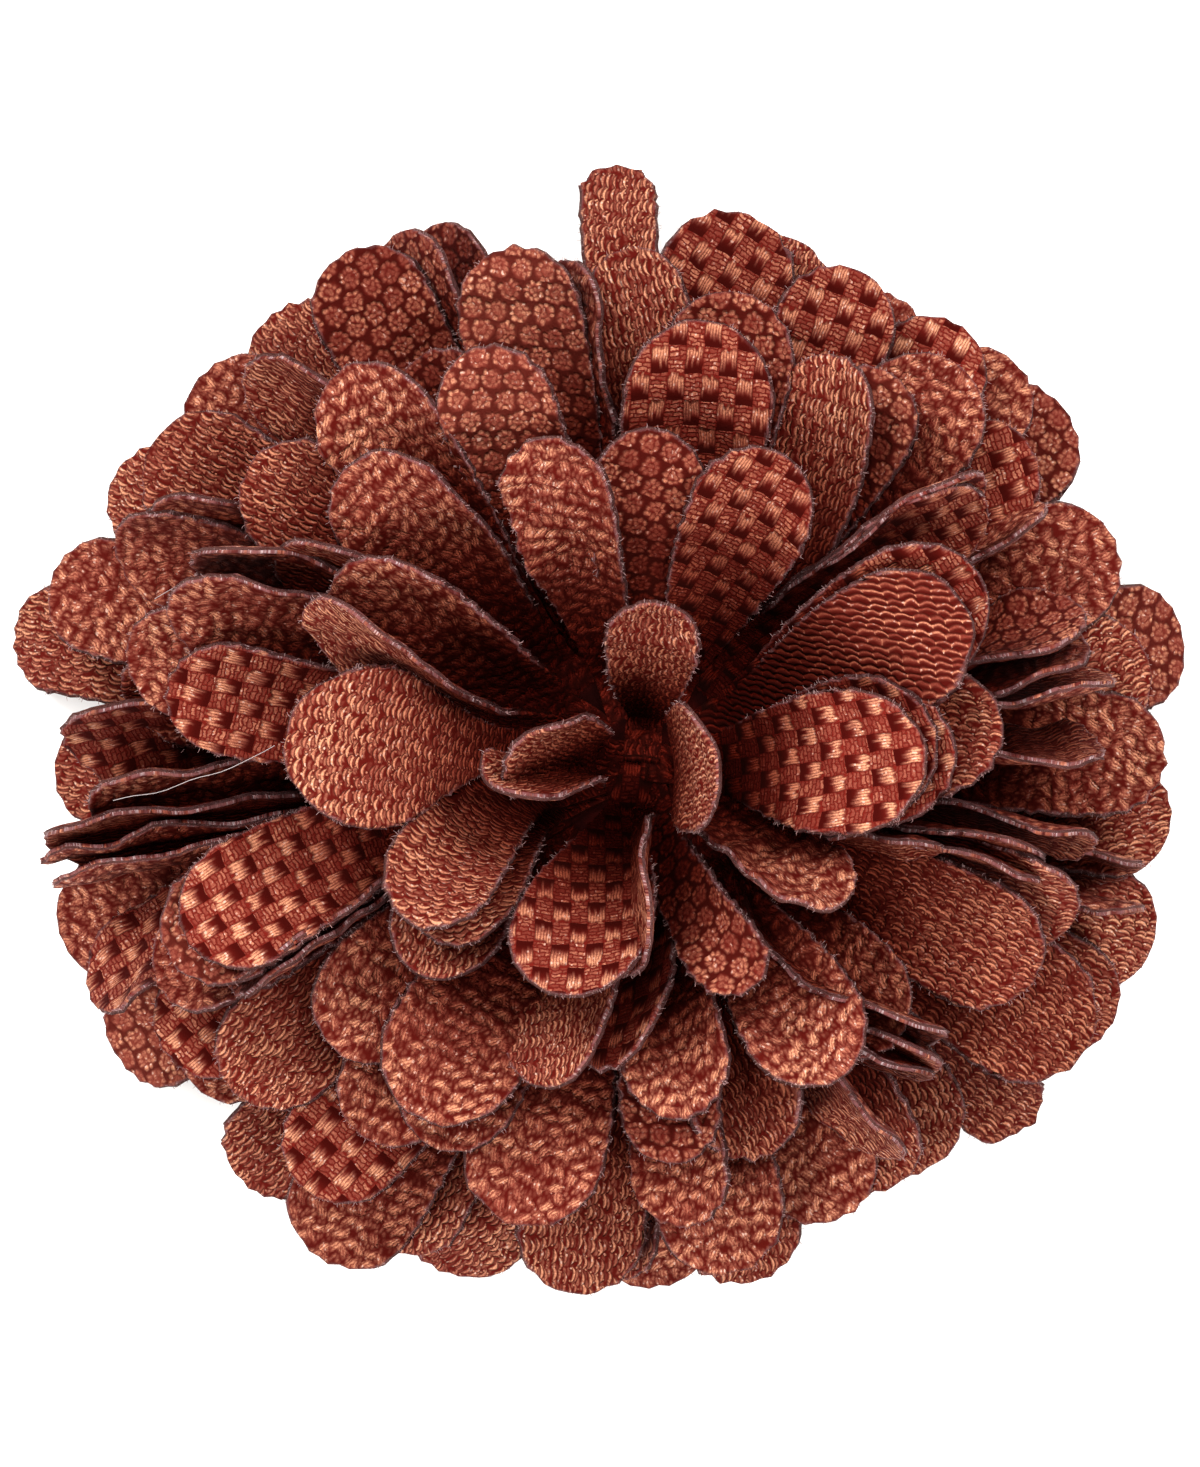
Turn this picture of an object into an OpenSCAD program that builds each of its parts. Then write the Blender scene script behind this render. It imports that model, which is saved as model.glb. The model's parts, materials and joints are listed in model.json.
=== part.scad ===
// Lapel pin with a many-petalled cloth flower.
// The flower lies on its back: +Z comes out of its face, +Y is the top and +X the right of the
// flower as worn. The origin is under the middle of the flower, at the level it lies on.
// Five rings of cloth petals are gathered into five stitched roots, stacked over a felt disc.
// A steel plate with a straight pin under it is set on the back of the felt.

/* [Flower] */
// Width of the open flower across its widest petals, in mm
flower_w = 46; // [42:0.5:50]
// Height that the tables of petals take as one for the rise of a tip, in mm
flower_h = 20; // [19:0.5:22]
// Width that the tables of petals take as one for the width of a petal, in mm
petal_w = 5; // [4.5:0.1:5.4]
// Thickness of a petal: the cloth with its fused edge, in mm
cloth_t = 1.03; // [1:0.01:1.1]
// How far right of the middle the petals meet, in mm
heart_x = 1.6; // [0:0.1:3]
// How far above the middle the petals meet, in mm
heart_y = -1.1; // [-3:0.1:0]

/* [Gathered roots] */
// Height of the lowest ring of roots, in mm
root_z = 5.4; // [5.2:0.1:6]
// Rise from one ring of roots to the next, in mm
root_pitch = 1.4; // [1.3:0.05:1.5]
// Radius that the table of rings takes as one for where petals leave a ring, in mm
root_r = 10; // [9.5:0.1:10.5]
// Width that the table of rings takes as one for a petal where it leaves a ring, in mm
root_w = 1; // [0.9:0.02:1.1]
// How far a root may lie above or below the middle of its ring, in mm
root_spread = 0.16; // [0.1:0.02:0.2]
// How far a ring of roots reaches past the start of its petals, in mm
root_lap = 0.35; // [0.3:0.01:0.4]
// Gap between stacked pieces, in mm
stack_gap = 0.15; // [0.12:0.01:0.2]
// Stitches through each ring of roots
stitches = 8; // [8:1:12]
// Width of a stitch, in mm
stitch_w = 0.25; // [0.2:0.05:0.3]
// How far a stitch stands out of the pad of roots, in mm
stitch_proud = 0.04; // [0.02:0.01:0.05]

/* [Felt backing] */
// Diameter of the felt disc, in mm
felt_d = 14; // [13.5:0.5:14.5]
// Thickness of the felt disc, in mm
felt_t = 1.2; // [1:0.1:1.3]
// Soft round-over at the edge of the felt, in mm
felt_edge = 0.3; // [0.1:0.05:0.4]

/* [Pin] */
// Diameter of the steel pin wire, in mm
pin_d = 1; // [0.9:0.05:1.1]
// Straight length of the pin past its plate, in mm
pin_free = 17.5; // [12:0.5:18]
// Length of the tapered point, in mm
point_len = 2.5; // [1.5:0.5:3]
// Diameter of the very end of the point, in mm
point_d = 0.16; // [0.1:0.02:0.3]
// Clear height under the pin wire, in mm
pin_clear = 0.3; // [0.2:0.05:0.4]
// Diameter of the steel plate, in mm
plate_d = 9; // [8:0.5:10]
// Thickness of the steel plate, in mm
plate_t = 0.8; // [0.6:0.05:0.9]
// Width of the block of solder between the plate and the wire, in mm
solder_w = 3; // [2:0.1:4]
// Thickness of the solder under the wire, in mm
solder_t = 0.15; // [0.1:0.01:0.18]

/* [Fineness] */
// Strips across each petal
across = 1; // [1:1:4]
// Sides of each pad of roots
pad_fn = 14; // [12:1:24]

/* [Hidden] */
half_w = flower_w / 2;
round_fn = 64;
stitch_fn = 4;
// Where a stitch starts and ends, as shares of its pad's radius
stitch_from = 0.4;
stitch_to = 0.75;
// How far the pads are turned, in degrees
pad_turn = 2;

// How fast a petal widens from its root, how deep it is dished and how round its tip is,
// where its row doesn't say otherwise
usual_waist = 1.6;
usual_cup = 0.12;
usual_tip = 0.5;
// Width of a petal's blunt end, as a share of its full width
tip_share = 0.45;
// Where a petal's sections lie, as shares of its length, closer together at the rounded tip
stations = [0, 0.38, 0.74, 0.92, 1];
// Share of its length over which a petal takes up its roll
roll_share = 0.35;
// Rise of a root, as a share of what its tip rises past its ring's usual rise
root_follow = 0.1;
// A short petal starts at no more than this share of its own reach
root_limit = 0.5;

// The felt lies under the lowest pad, and the plate under the felt
pad_h = root_pitch - stack_gap;
felt_top = root_z - pad_h / 2 - stack_gap;
felt_bottom = felt_top - felt_t;
plate_bottom = felt_bottom - stack_gap - plate_t;
pin_r = pin_d / 2;
pin_z = pin_clear + pin_r;
plate_x = heart_x - plate_d / 2;
solder_x = plate_x - plate_d / 4;
solder_z = pin_clear - solder_t;

maroon = [0.42, 0.14, 0.09];
copper = [0.66, 0.33, 0.18];
rust = [0.55, 0.24, 0.14];
brown = [0.36, 0.16, 0.1];
russet = [0.6, 0.28, 0.16];
felt_black = [0.08, 0.07, 0.07];
steel = [0.72, 0.72, 0.74];

// The rings of roots, lowest first
RING_R = 0;      // radius at which the petals leave the ring, as a share of root_r
RING_ARCH = 1;   // how high a petal bows, as a share of its length
RING_W = 2;      // width of a petal where it leaves the ring, as a share of root_w
RING_RISE = 3;   // usual rise of the tips of its petals, as a share of flower_h
rings = [
  [0.62, 0.15, 0.9, 0.2],
  [0.56, 0.14, 0.9, 0.43],
  [0.49, 0.16, 0.9, 0.68],
  [0.37, 0.17, 1, 0.88],
  [0.19, 0.16, 1, 0.97]
];

// The petals of each ring, anticlockwise from the right of the flower
TURN = 0;    // the way the tip points, degrees anticlockwise from +X
REACH = 1;   // how far out the tip is, as a share of half the flower's width
RISE = 2;    // how high the tip is, as a share of flower_h
WIDE = 3;    // full width, as a share of petal_w
ROLL = 4;    // how far the petal is turned on its length, degrees, + lifts its left edge
SWAY = 5;    // how far the petal curves round towards its tip, degrees
WAIST = 6;   // own value in place of usual_waist
CUP = 7;     // own value in place of usual_cup
TIP = 8;     // own value in place of usual_tip

back_rows = [
  [13, 0.95, 0.02, 0.98, 0, 0],
  [40, 0.94, 0.24, 1.04, 0, 0],
  [47, 0.93, 0.32, 0.92, 0, 0],
  [53.5, 0.92, 0.39, 0.92, 0, 0],
  [61, 0.90, 0.30, 0.88, 0, 0],
  [74.5, 0.93, 0.26, 0.96, 0, 0],
  [80, 0.95, 0.35, 1.06, 0, 0],
  [92.3, 1.02, 0.02, 0.60, 0, 0],
  [112, 0.98, 0.23, 0.92, -30, 0],
  [115, 0.99, 0.31, 0.88, -40, 0],
  [120, 1.00, 0.33, 0.94, -5, -3],
  [129.5, 0.99, 0.12, 0.92, 0, 0],
  [139, 1.00, 0.17, 0.96, 0, 0],
  [147, 0.99, 0.27, 1.08, 0, 0],
  [151.5, 1.02, 0.18, 0.88, 0, 0],
  [163, 1.05, 0.17, 0.92, 0, 0],
  [168, 1.09, 0.02, 0.86, 0, 0],
  [181, 1.00, 0.17, 0.92, 0, 0],
  [196.5, 1.04, 0.07, 0.92, 0, 0],
  [209, 1.03, 0.02, 0.92, 0, 0],
  [215, 0.94, 0.25, 0.90, 0, 0],
  [226.5, 0.99, 0.15, 0.84, 0, 0],
  [237, 1.01, 0.27, 1.04, 0, 0],
  [242.5, 0.94, 0.20, 0.88, 0, 0],
  [249.5, 0.94, 0.10, 0.96, 0, 0],
  [263, 0.91, 0.36, 1.00, 0, 2],
  [267, 0.88, 0.24, 0.92, 30, 0],
  [271, 0.90, 0.02, 0.92, 0, 0],
  [282, 0.91, 0.28, 0.96, 0, 0],
  [306.5, 0.85, 0.24, 1.00, 0, 0],
  [317.5, 0.92, 0.04, 0.88, 15, 7, 1.6, 0.12, 1.0],
  [331, 0.92, 0.27, 0.92, 0, 0],
  [340, 0.93, 0.20, 1.00, 0, 0],
  [344, 0.89, 0.39, 0.80, 85, 8],
  [348, 0.87, 0.34, 0.88, 78, 0],
  [353.5, 0.91, 0.28, 0.96, 0, 0]
];

outer_rows = [
  [1, 0.89, 0.45, 0.96, 0, 0],
  [10.5, 0.88, 0.40, 1.04, 0, 0],
  [25, 0.89, 0.42, 1.04, 0, 0],
  [32, 0.81, 0.54, 0.88, -65, 0],
  [40, 0.85, 0.48, 1.00, 0, 0],
  [51, 0.86, 0.52, 1.04, 0, 0],
  [66, 0.91, 0.45, 0.94, 0, 0],
  [92, 0.87, 0.50, 0.78, 0, 12],
  [99, 0.86, 0.50, 0.92, -50, 0],
  [105, 0.90, 0.53, 0.98, -10, 0],
  [136, 0.94, 0.48, 0.92, -50, 22],
  [154, 0.93, 0.48, 0.96, -50, 22],
  [157, 0.97, 0.42, 0.92, -40, 10],
  [172, 0.89, 0.46, 0.92, -30, 10],
  [178, 0.98, 0.39, 0.96, -55, 12],
  [184, 0.94, 0.46, 0.96, -60, 5],
  [187, 1.02, 0.40, 0.92, -70, 0],
  [192, 1.02, 0.33, 0.88, 88, 0],
  [203.5, 1.02, 0.32, 0.92, 50, 15],
  [211, 0.95, 0.37, 0.96, 0, 0],
  [219, 0.89, 0.48, 0.98, 0, 5],
  [231, 0.92, 0.43, 0.98, 0, -8],
  [280, 0.88, 0.45, 1.00, 0, 0],
  [293, 0.85, 0.40, 0.96, 0, -3],
  [301, 0.84, 0.35, 0.92, 20, 0],
  [327, 0.90, 0.46, 1.12, 0, 0]
];

middle_rows = [
  [1, 0.78, 0.65, 0.92, -75, 0],
  [9, 0.81, 0.65, 0.92, -75, 0],
  [14, 0.78, 0.66, 0.92, -60, 0],
  [18, 0.79, 0.67, 0.92, -60, 0],
  [38, 0.73, 0.75, 1.00, 55, -12],
  [57, 0.78, 0.63, 0.88, 0, 0],
  [65, 0.76, 0.70, 0.84, -20, 22],
  [78, 0.81, 0.68, 1.04, 0, 0],
  [81, 0.75, 0.77, 1.16, 0, 0],
  [112, 0.75, 0.80, 0.92, -10, 0],
  [118, 0.78, 0.69, 0.92, -20, 0],
  [127, 0.83, 0.75, 1.00, -20, -5],
  [134, 0.70, 0.84, 1.04, -25, 0],
  [143, 0.83, 0.64, 1.00, -10, 5],
  [149, 0.71, 0.75, 0.96, -60, 10],
  [156, 0.83, 0.68, 0.96, -60, 20],
  [162, 0.84, 0.71, 0.96, -45, 13],
  [167, 0.89, 0.59, 0.96, -20, 0],
  [171, 0.81, 0.67, 0.92, -20, 0],
  [202, 0.82, 0.77, 1.00, 10, 13],
  [203, 0.86, 0.71, 0.98, 5, 13],
  [205, 0.90, 0.53, 0.96, 20, 5],
  [207, 0.80, 0.69, 0.96, 65, 10],
  [223, 0.71, 0.66, 1.04, 0, 5],
  [225, 0.52, 0.75, 0.88, 0, 25],
  [233, 0.79, 0.57, 0.92, 0, 0],
  [238, 0.71, 0.73, 1.12, 0, 5],
  [241, 0.74, 0.65, 0.92, 0, 0],
  [254, 0.57, 0.78, 0.92, 45, 0],
  [255, 0.81, 0.60, 1.10, 0, 2],
  [262, 0.52, 0.75, 0.92, 45, -19],
  [275, 0.68, 0.66, 0.78, 10, 0],
  [276, 0.79, 0.56, 0.80, 25, 0],
  [277, 0.60, 0.77, 0.86, 18, 0],
  [287, 0.70, 0.58, 0.88, 0, 0, 1.6, 0.5],
  [302, 0.63, 0.78, 0.96, 0, 0],
  [304, 0.80, 0.61, 0.92, 70, 12],
  [311, 0.64, 0.68, 0.98, -10, 0],
  [312, 0.73, 0.60, 0.88, 75, 15],
  [318, 0.69, 0.70, 0.88, 80, 25],
  [332, 0.76, 0.66, 1.04, 15, 0],
  [341, 0.78, 0.65, 0.96, 45, 0],
  [344, 0.52, 0.78, 0.64, 88, 9],
  [347, 0.70, 0.70, 0.92, 78, 0],
  [351, 0.78, 0.66, 0.80, 75, 0]
];

inner_rows = [
  [2, 0.53, 0.88, 1.08, 5, 0],
  [6, 0.61, 0.82, 1.00, 0, 0],
  [25, 0.60, 0.91, 1.12, 0, 0],
  [29, 0.65, 0.84, 1.12, 10, 0],
  [67, 0.57, 0.87, 0.96, 10, 0],
  [89, 0.56, 0.87, 0.92, 5, 0],
  [107, 0.57, 0.91, 0.86, -25, 0],
  [147, 0.60, 0.88, 0.98, -40, 0],
  [153, 0.61, 0.91, 0.92, -60, -18],
  [178, 0.60, 0.93, 1.26, 0, 5, 3.2, 0.1],
  [216, 0.47, 0.93, 0.86, 5, 34],
  [224, 0.45, 0.81, 0.86, 10, 34]
];

heart_rows = [
  [0, 0.14, 1.02, 1.00, 0, 14],
  [0, 0.47, 0.97, 1.12, 0, 0],
  [85, 0.27, 1.03, 0.72, 0, 0],
  [172, 0.22, 0.99, 0.80, -60, 0],
  [190, 0.25, 0.97, 0.76, 60, 0],
  [251, 0.42, 0.93, 1.08, 15, 0],
  [267, 0.34, 0.92, 1.00, 68, 0],
  [298, 0.42, 0.88, 0.64, 20, 18],
  [324, 0.41, 0.93, 0.92, -50, 0]
];

function unit(v) = v / norm(v);
function or_usual(row, column, usual) = is_undef(row[column]) ? usual : row[column];

// Height and radius of ring number n, and height of one root in it
function ring_z(n) = root_z + n * root_pitch;
function ring_r(n) = rings[n][RING_R] * root_r;
function start_z(n, row) =
  let(lift = (row[RISE] - rings[n][RING_RISE]) * flower_h * root_follow)
  ring_z(n) + max(-root_spread, min(root_spread, lift));

// Where a petal leaves its ring
function root_at(n, row) =
  let(turn = row[TURN] - row[SWAY] / 2,
      r = min(ring_r(n), row[REACH] * half_w * root_limit))
  [heart_x + r * cos(turn), heart_y + r * sin(turn), start_z(n, row)];

// The tip of a petal
function tip_at(row) =
  let(r = row[REACH] * half_w)
  [heart_x + r * cos(row[TURN]), heart_y + r * sin(row[TURN]), row[RISE] * flower_h];

// The point that a petal's middle line bows towards
function bow_at(n, row) =
  let(a = root_at(n, row),
      b = tip_at(row),
      left = [-sin(row[TURN]), cos(row[TURN]), 0],
      square = unit(cross(b - a, left)),
      up = square.z < 0 ? -square : square,
      plan = norm([b.x - a.x, b.y - a.y]))
  (a + b) / 2 + up * rings[n][RING_ARCH] * norm(b - a) - left * tan(row[SWAY]) * plan / 2;

// Share of the full width at share s of a petal's length
function width_share(n, row, s, length) =
  let(wide = row[WIDE] * petal_w,
      round_from = 1 - wide / length / 2,
      start = rings[n][RING_W] * root_w / wide,
      grow = pow(sin(90 * s / round_from), or_usual(row, WAIST, usual_waist)),
      past = (s - round_from) / (1 - round_from),
      fade = pow(max(0, 1 - past * past), or_usual(row, TIP, usual_tip)))
  max(tip_share, s < round_from ? start + (1 - start) * grow : fade);

// One section of a petal: its upper points and then its lower ones, from right edge to left
function section(n, row, s) =
  let(a = root_at(n, row),
      m = bow_at(n, row),
      b = tip_at(row),
      middle = (1 - s) * (1 - s) * a + 2 * s * (1 - s) * m + s * s * b,
      forward = unit((1 - s) * (m - a) + s * (b - m)),
      heading = row[TURN] + row[SWAY] * s,
      level = [-sin(heading), cos(heading), 0],
      flat = unit(level - (level * forward) * forward),
      above = cross(forward, flat),
      roll = row[ROLL] * min(1, s / roll_share),
      leftward = flat * cos(roll) + above * sin(roll),
      upward = above * cos(roll) - flat * sin(roll),
      w = width_share(n, row, s, norm(b - a)),
      wide = row[WIDE] * petal_w,
      cup = or_usual(row, CUP, usual_cup))
  [for (side = [1, -1])
    for (j = [0 : across])
      let(u = 2 * j / across - 1,
          normal = unit(upward - leftward * 4 * cup * u * w))
      middle + leftward * wide / 2 * w * u + upward * cup * wide * u * u * w * w
        + normal * side * cloth_t / 2];

// One petal: a cloth wall that is bowed along its length and dished across it
module petal(n, row) {
  count = across + 1;
  lap = 2 * count;
  along = len(stations) - 1;
  points = [for (s = stations) each section(n, row, s)];
  rim = [each [for (j = [0 : across]) j],
         each [for (i = [1 : along]) i * lap + across],
         each [for (j = [across - 1 : -1 : 0]) along * lap + j],
         each [for (i = [along - 1 : -1 : 1]) i * lap]];
  upper = [for (i = [0 : along - 1]) for (j = [0 : across - 1])
    let(p = i * lap + j) each [[p, p + lap + 1, p + lap], [p, p + 1, p + lap + 1]]];
  lower = [for (f = upper) [f[0] + count, f[2] + count, f[1] + count]];
  edge = [for (k = [0 : len(rim) - 1])
    let(p = rim[k], q = rim[(k + 1) % len(rim)])
    each [[p, q + count, q], [p, p + count, q + count]]];
  polyhedron(points = points, faces = concat(upper, lower, edge), convexity = 4);
}

// The roots of one ring: a pad of pressed cloth with radial stitches through it
module gathered_roots(n) {
  r = ring_r(n) + root_lap;
  translate([heart_x, heart_y, ring_z(n)])
    rotate(pad_turn) {
      cylinder(r = r, h = pad_h, center = true, $fn = pad_fn);
      for (i = [0 : stitches - 1])
        rotate(i * 360 / stitches)
          hull()
            for (k = [stitch_from, stitch_to])
              translate([k * r, 0, 0])
                cylinder(d = stitch_w, h = pad_h / 2 + stitch_proud, $fn = stitch_fn);
    }
}

// One ring of petals with its roots
module petal_ring(n, rows) {
  union() {
    gathered_roots(n);
    for (row = rows) petal(n, row);
  }
}

module back_petals() {
  color(brown) petal_ring(0, back_rows);
}

module outer_petals() {
  color(rust) petal_ring(1, outer_rows);
}

module middle_petals() {
  color(copper) petal_ring(2, middle_rows);
}

module inner_petals() {
  color(russet) petal_ring(3, inner_rows);
}

module heart_petals() {
  color(maroon) petal_ring(4, heart_rows);
}

// Round felt disc with softened edges
module felt_backing() {
  r = felt_d / 2;
  color(felt_black)
    translate([heart_x, heart_y, felt_bottom])
      rotate_extrude($fn = round_fn)
        polygon([[0, 0], [r - felt_edge, 0], [r, felt_edge], [r, felt_t - felt_edge],
                 [r - felt_edge, felt_t], [0, felt_t]]);
}

// Steel plate with a straight pointed pin soldered under it
module pin() {
  shaft = pin_free + heart_x - solder_x - point_len;
  color(steel) {
    translate([plate_x, heart_y, plate_bottom])
      cylinder(d = plate_d, h = plate_t, $fn = round_fn);
    translate([solder_x - solder_w / 2, heart_y - solder_w / 2, solder_z])
      cube([solder_w, solder_w, plate_bottom + plate_t / 2 - solder_z]);
    translate([solder_x, heart_y, pin_z])
      rotate([0, 90, 0]) {
        cylinder(r = pin_r, h = shaft, $fn = round_fn);
        translate([0, 0, shaft])
          cylinder(r1 = pin_r, r2 = point_d / 2, h = point_len, $fn = round_fn);
      }
  }
}

back_petals();
outer_petals();
middle_petals();
inner_petals();
heart_petals();
felt_backing();
pin();
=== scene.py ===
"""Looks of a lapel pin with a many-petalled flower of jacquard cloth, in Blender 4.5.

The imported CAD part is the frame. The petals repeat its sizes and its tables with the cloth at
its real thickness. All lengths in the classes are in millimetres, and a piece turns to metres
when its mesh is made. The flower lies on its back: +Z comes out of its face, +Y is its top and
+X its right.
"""

from __future__ import annotations

import json
import logging
import math
from dataclasses import dataclass, field
from enum import Enum
from typing import NamedTuple

import bpy
import numpy as np
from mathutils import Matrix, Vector
from mathutils.bvhtree import BVHTree
from numpy.typing import NDArray

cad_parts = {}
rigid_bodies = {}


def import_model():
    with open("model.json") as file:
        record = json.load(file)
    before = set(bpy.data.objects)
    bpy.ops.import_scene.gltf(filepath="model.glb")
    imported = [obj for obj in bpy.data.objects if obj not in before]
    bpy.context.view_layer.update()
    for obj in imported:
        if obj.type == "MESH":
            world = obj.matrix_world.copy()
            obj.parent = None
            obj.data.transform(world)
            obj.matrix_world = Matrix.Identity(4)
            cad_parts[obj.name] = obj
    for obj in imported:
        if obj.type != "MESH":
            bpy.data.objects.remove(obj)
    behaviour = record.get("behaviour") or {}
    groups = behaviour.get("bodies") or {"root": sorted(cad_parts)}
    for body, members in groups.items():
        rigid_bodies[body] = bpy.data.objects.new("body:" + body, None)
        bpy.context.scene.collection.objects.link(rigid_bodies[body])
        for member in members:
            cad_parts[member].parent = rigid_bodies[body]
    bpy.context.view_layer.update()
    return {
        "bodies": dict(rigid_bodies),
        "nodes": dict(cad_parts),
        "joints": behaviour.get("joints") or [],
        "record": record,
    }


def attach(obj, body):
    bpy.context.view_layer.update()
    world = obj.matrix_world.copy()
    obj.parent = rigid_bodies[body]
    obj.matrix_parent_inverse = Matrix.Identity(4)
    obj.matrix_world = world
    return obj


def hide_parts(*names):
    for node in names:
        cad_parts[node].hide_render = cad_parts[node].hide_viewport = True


LOG = logging.getLogger("flower_pin")
MM = 0.001
Array = NDArray[np.float64]
Ids = NDArray[np.int64]
Colour = tuple[float, float, float]
Triple = tuple[float, float, float]
CLOTH_MAP = "cloth_mm"
NEARLY_UPRIGHT = 0.9


class Weave(Enum):
    """How the jacquard shows on a petal's upper side."""

    BASKET = "basket"
    CRESCENT = "crescent"
    SEED = "seed"
    TWILL = "twill"
    SPRIG = "sprig"


B, C, S, T, G = Weave.BASKET, Weave.CRESCENT, Weave.SEED, Weave.TWILL, Weave.SPRIG


def smooth(x: Array | float, low: float, high: float) -> Array:
    """Smooth step from 0 at low to 1 at high.

    Args:
        x: Values to map.
        low: Where the result leaves 0.
        high: Where the result reaches 1.

    Returns:
        The mapped values.
    """
    t = np.clip((np.asarray(x, float) - low) / (high - low), 0.0, 1.0)
    return t * t * (3 - 2 * t)


def unit(v: Array) -> Array:
    """Vectors of length one, along the last axis."""
    return v / np.linalg.norm(v, axis=-1, keepdims=True)


def beside(ahead: Array) -> tuple[Array, Array]:
    """Two directions at right angles to each of the directions ahead, and to each other."""
    steep = np.abs(ahead[:, 2:3]) > NEARLY_UPRIGHT
    one = unit(np.cross(ahead, np.where(steep, np.array([[1.0, 0, 0]]), np.array([[0, 0, 1.0]]))))
    return one, np.cross(ahead, one)


def rim_of(grid: Array) -> Array:
    """A grid's values along its left side, over its tip and back along its right side."""
    return np.concatenate([grid[:-1, 0], grid[-1], grid[-2::-1, -1]])


def run_along(line: Array) -> Array:
    """Length of a line up to each of its points, mm."""
    return np.concatenate([[0.0], np.cumsum(np.linalg.norm(np.diff(line, axis=0), axis=1))])


def bowed(t: Array, start: Array, middle: Array, end: Array) -> Array:
    """Points at shares t of a line from start to end that bows towards middle."""
    return (1 - t) ** 2 * start + 2 * t * (1 - t) * middle + t * t * end


def grid_quads(ids: Ids) -> Ids:
    """Faces between the rows and columns of a grid of point numbers."""
    return np.stack([ids[:-1, :-1], ids[:-1, 1:], ids[1:, 1:], ids[1:, :-1]], -1).reshape(-1, 4)


def ring_quads(rings: int, sides: int) -> Ids:
    """Faces between rings of points, where each ring has as many points as sides."""
    a = np.arange(sides)
    b = (a + 1) % sides
    ring = np.stack([a, b, b + sides, a + sides], 1)
    return np.vstack([ring + k * sides for k in range(rings - 1)])


class Ripple:
    """A seeded smooth random line, as a sum of a few sines of a chosen pitch."""

    PITCHES = (0.7, 1.4)
    HEIGHTS = (0.6, 1.4)

    def __init__(self, rng: np.random.Generator, pitch: float, size: float, waves: int = 3) -> None:
        """Chooses the waves.

        Args:
            rng: Source of the seeded random values.
            pitch: Usual distance between crests, mm.
            size: Usual height of a crest, mm.
            waves: How many sines are added.
        """
        self.rate = 2 * math.pi / (pitch * rng.uniform(*self.PITCHES, waves))
        self.start = rng.uniform(0, 2 * math.pi, waves)
        self.size = size / math.sqrt(waves) * rng.uniform(*self.HEIGHTS, waves)

    def at(self, x: Array) -> Array:
        """Height of the line at positions x, mm."""
        return (np.sin(x[..., None] * self.rate + self.start) * self.size).sum(-1)


@dataclass(frozen=True)
class Petal:
    """One petal, as shares of the flower's sizes, and how its cloth was cut."""

    turn: float
    reach: float
    rise: float
    wide: float
    roll: float
    sway: float
    weave: Weave
    lay: float = 0.0
    waist: float = 1.6
    cup: float = 0.12
    tip: float = 0.5
    bend: float = 0.0
    light: float = 0.0


@dataclass(frozen=True)
class FlowerSizes:
    """Sizes that all rings of petals share, the same as in the CAD source."""

    width: float = 46.0
    height: float = 20.0
    petal_w: float = 5.0
    heart_x: float = 1.6
    heart_y: float = -1.1
    root_z: float = 5.4
    root_pitch: float = 1.4
    root_spread: float = 0.16
    root_follow: float = 2.0
    root_limit: float = 0.5
    stack_gap: float = 0.15
    roll_share: float = 0.35

    @property
    def half_pad(self) -> float:
        """Half the height that a ring's pad of roots may take, mm."""
        return (self.root_pitch - self.stack_gap) / 2

    def place(self, r: float, turn: float, z: float) -> Array:
        """Point at a distance and a direction from the heart, and at a height, mm."""
        return np.array([self.heart_x + r * math.cos(turn), self.heart_y + r * math.sin(turn), z])


@dataclass(frozen=True)
class ClothSizes:
    """Sizes of the cut cloth as it really is."""

    half_t: float = 0.17
    rim_t: float = 0.12
    rim_bulge: float = 0.05
    rim_fade: float = 0.1
    scallop: float = 0.06
    scallop_pitch: float = 0.8
    fray: float = 0.022
    fray_pitch: float = 0.33
    notch_fade: float = 0.3
    wave: float = 0.2
    wave_pitch: float = 6.0
    pucker: float = 0.05
    pucker_pitch: float = 2.4
    curl: float = 0.35
    lay_spread: float = 11.0
    along: int = 42
    across: int = 18
    tuck_to: float = 0.2
    tuck_rise: float = 0.22
    tuck_rows: int = 5
    tuck_least: float = 0.4
    tuck_spread: tuple[float, float] = (-0.3, 1.0)
    row_ease: float = 1.2
    rim_finer: int = 4
    root_plain: tuple[float, float] = (1.5, 4.0)
    free: tuple[float, float] = (0.25, 0.6)
    pucker_lean: float = 0.6
    curl_from: float = 0.55
    curl_run: float = 0.45
    line_steps: int = 60
    bolt_shift: float = 20.0
    under_shift: float = 7.3


@dataclass(frozen=True)
class RingSizes:
    """Where the petals of one ring start and how they bow, the same as in the CAD source."""

    level: int
    radius: float
    arch: float
    root_w: float
    usual_rise: float


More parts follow.
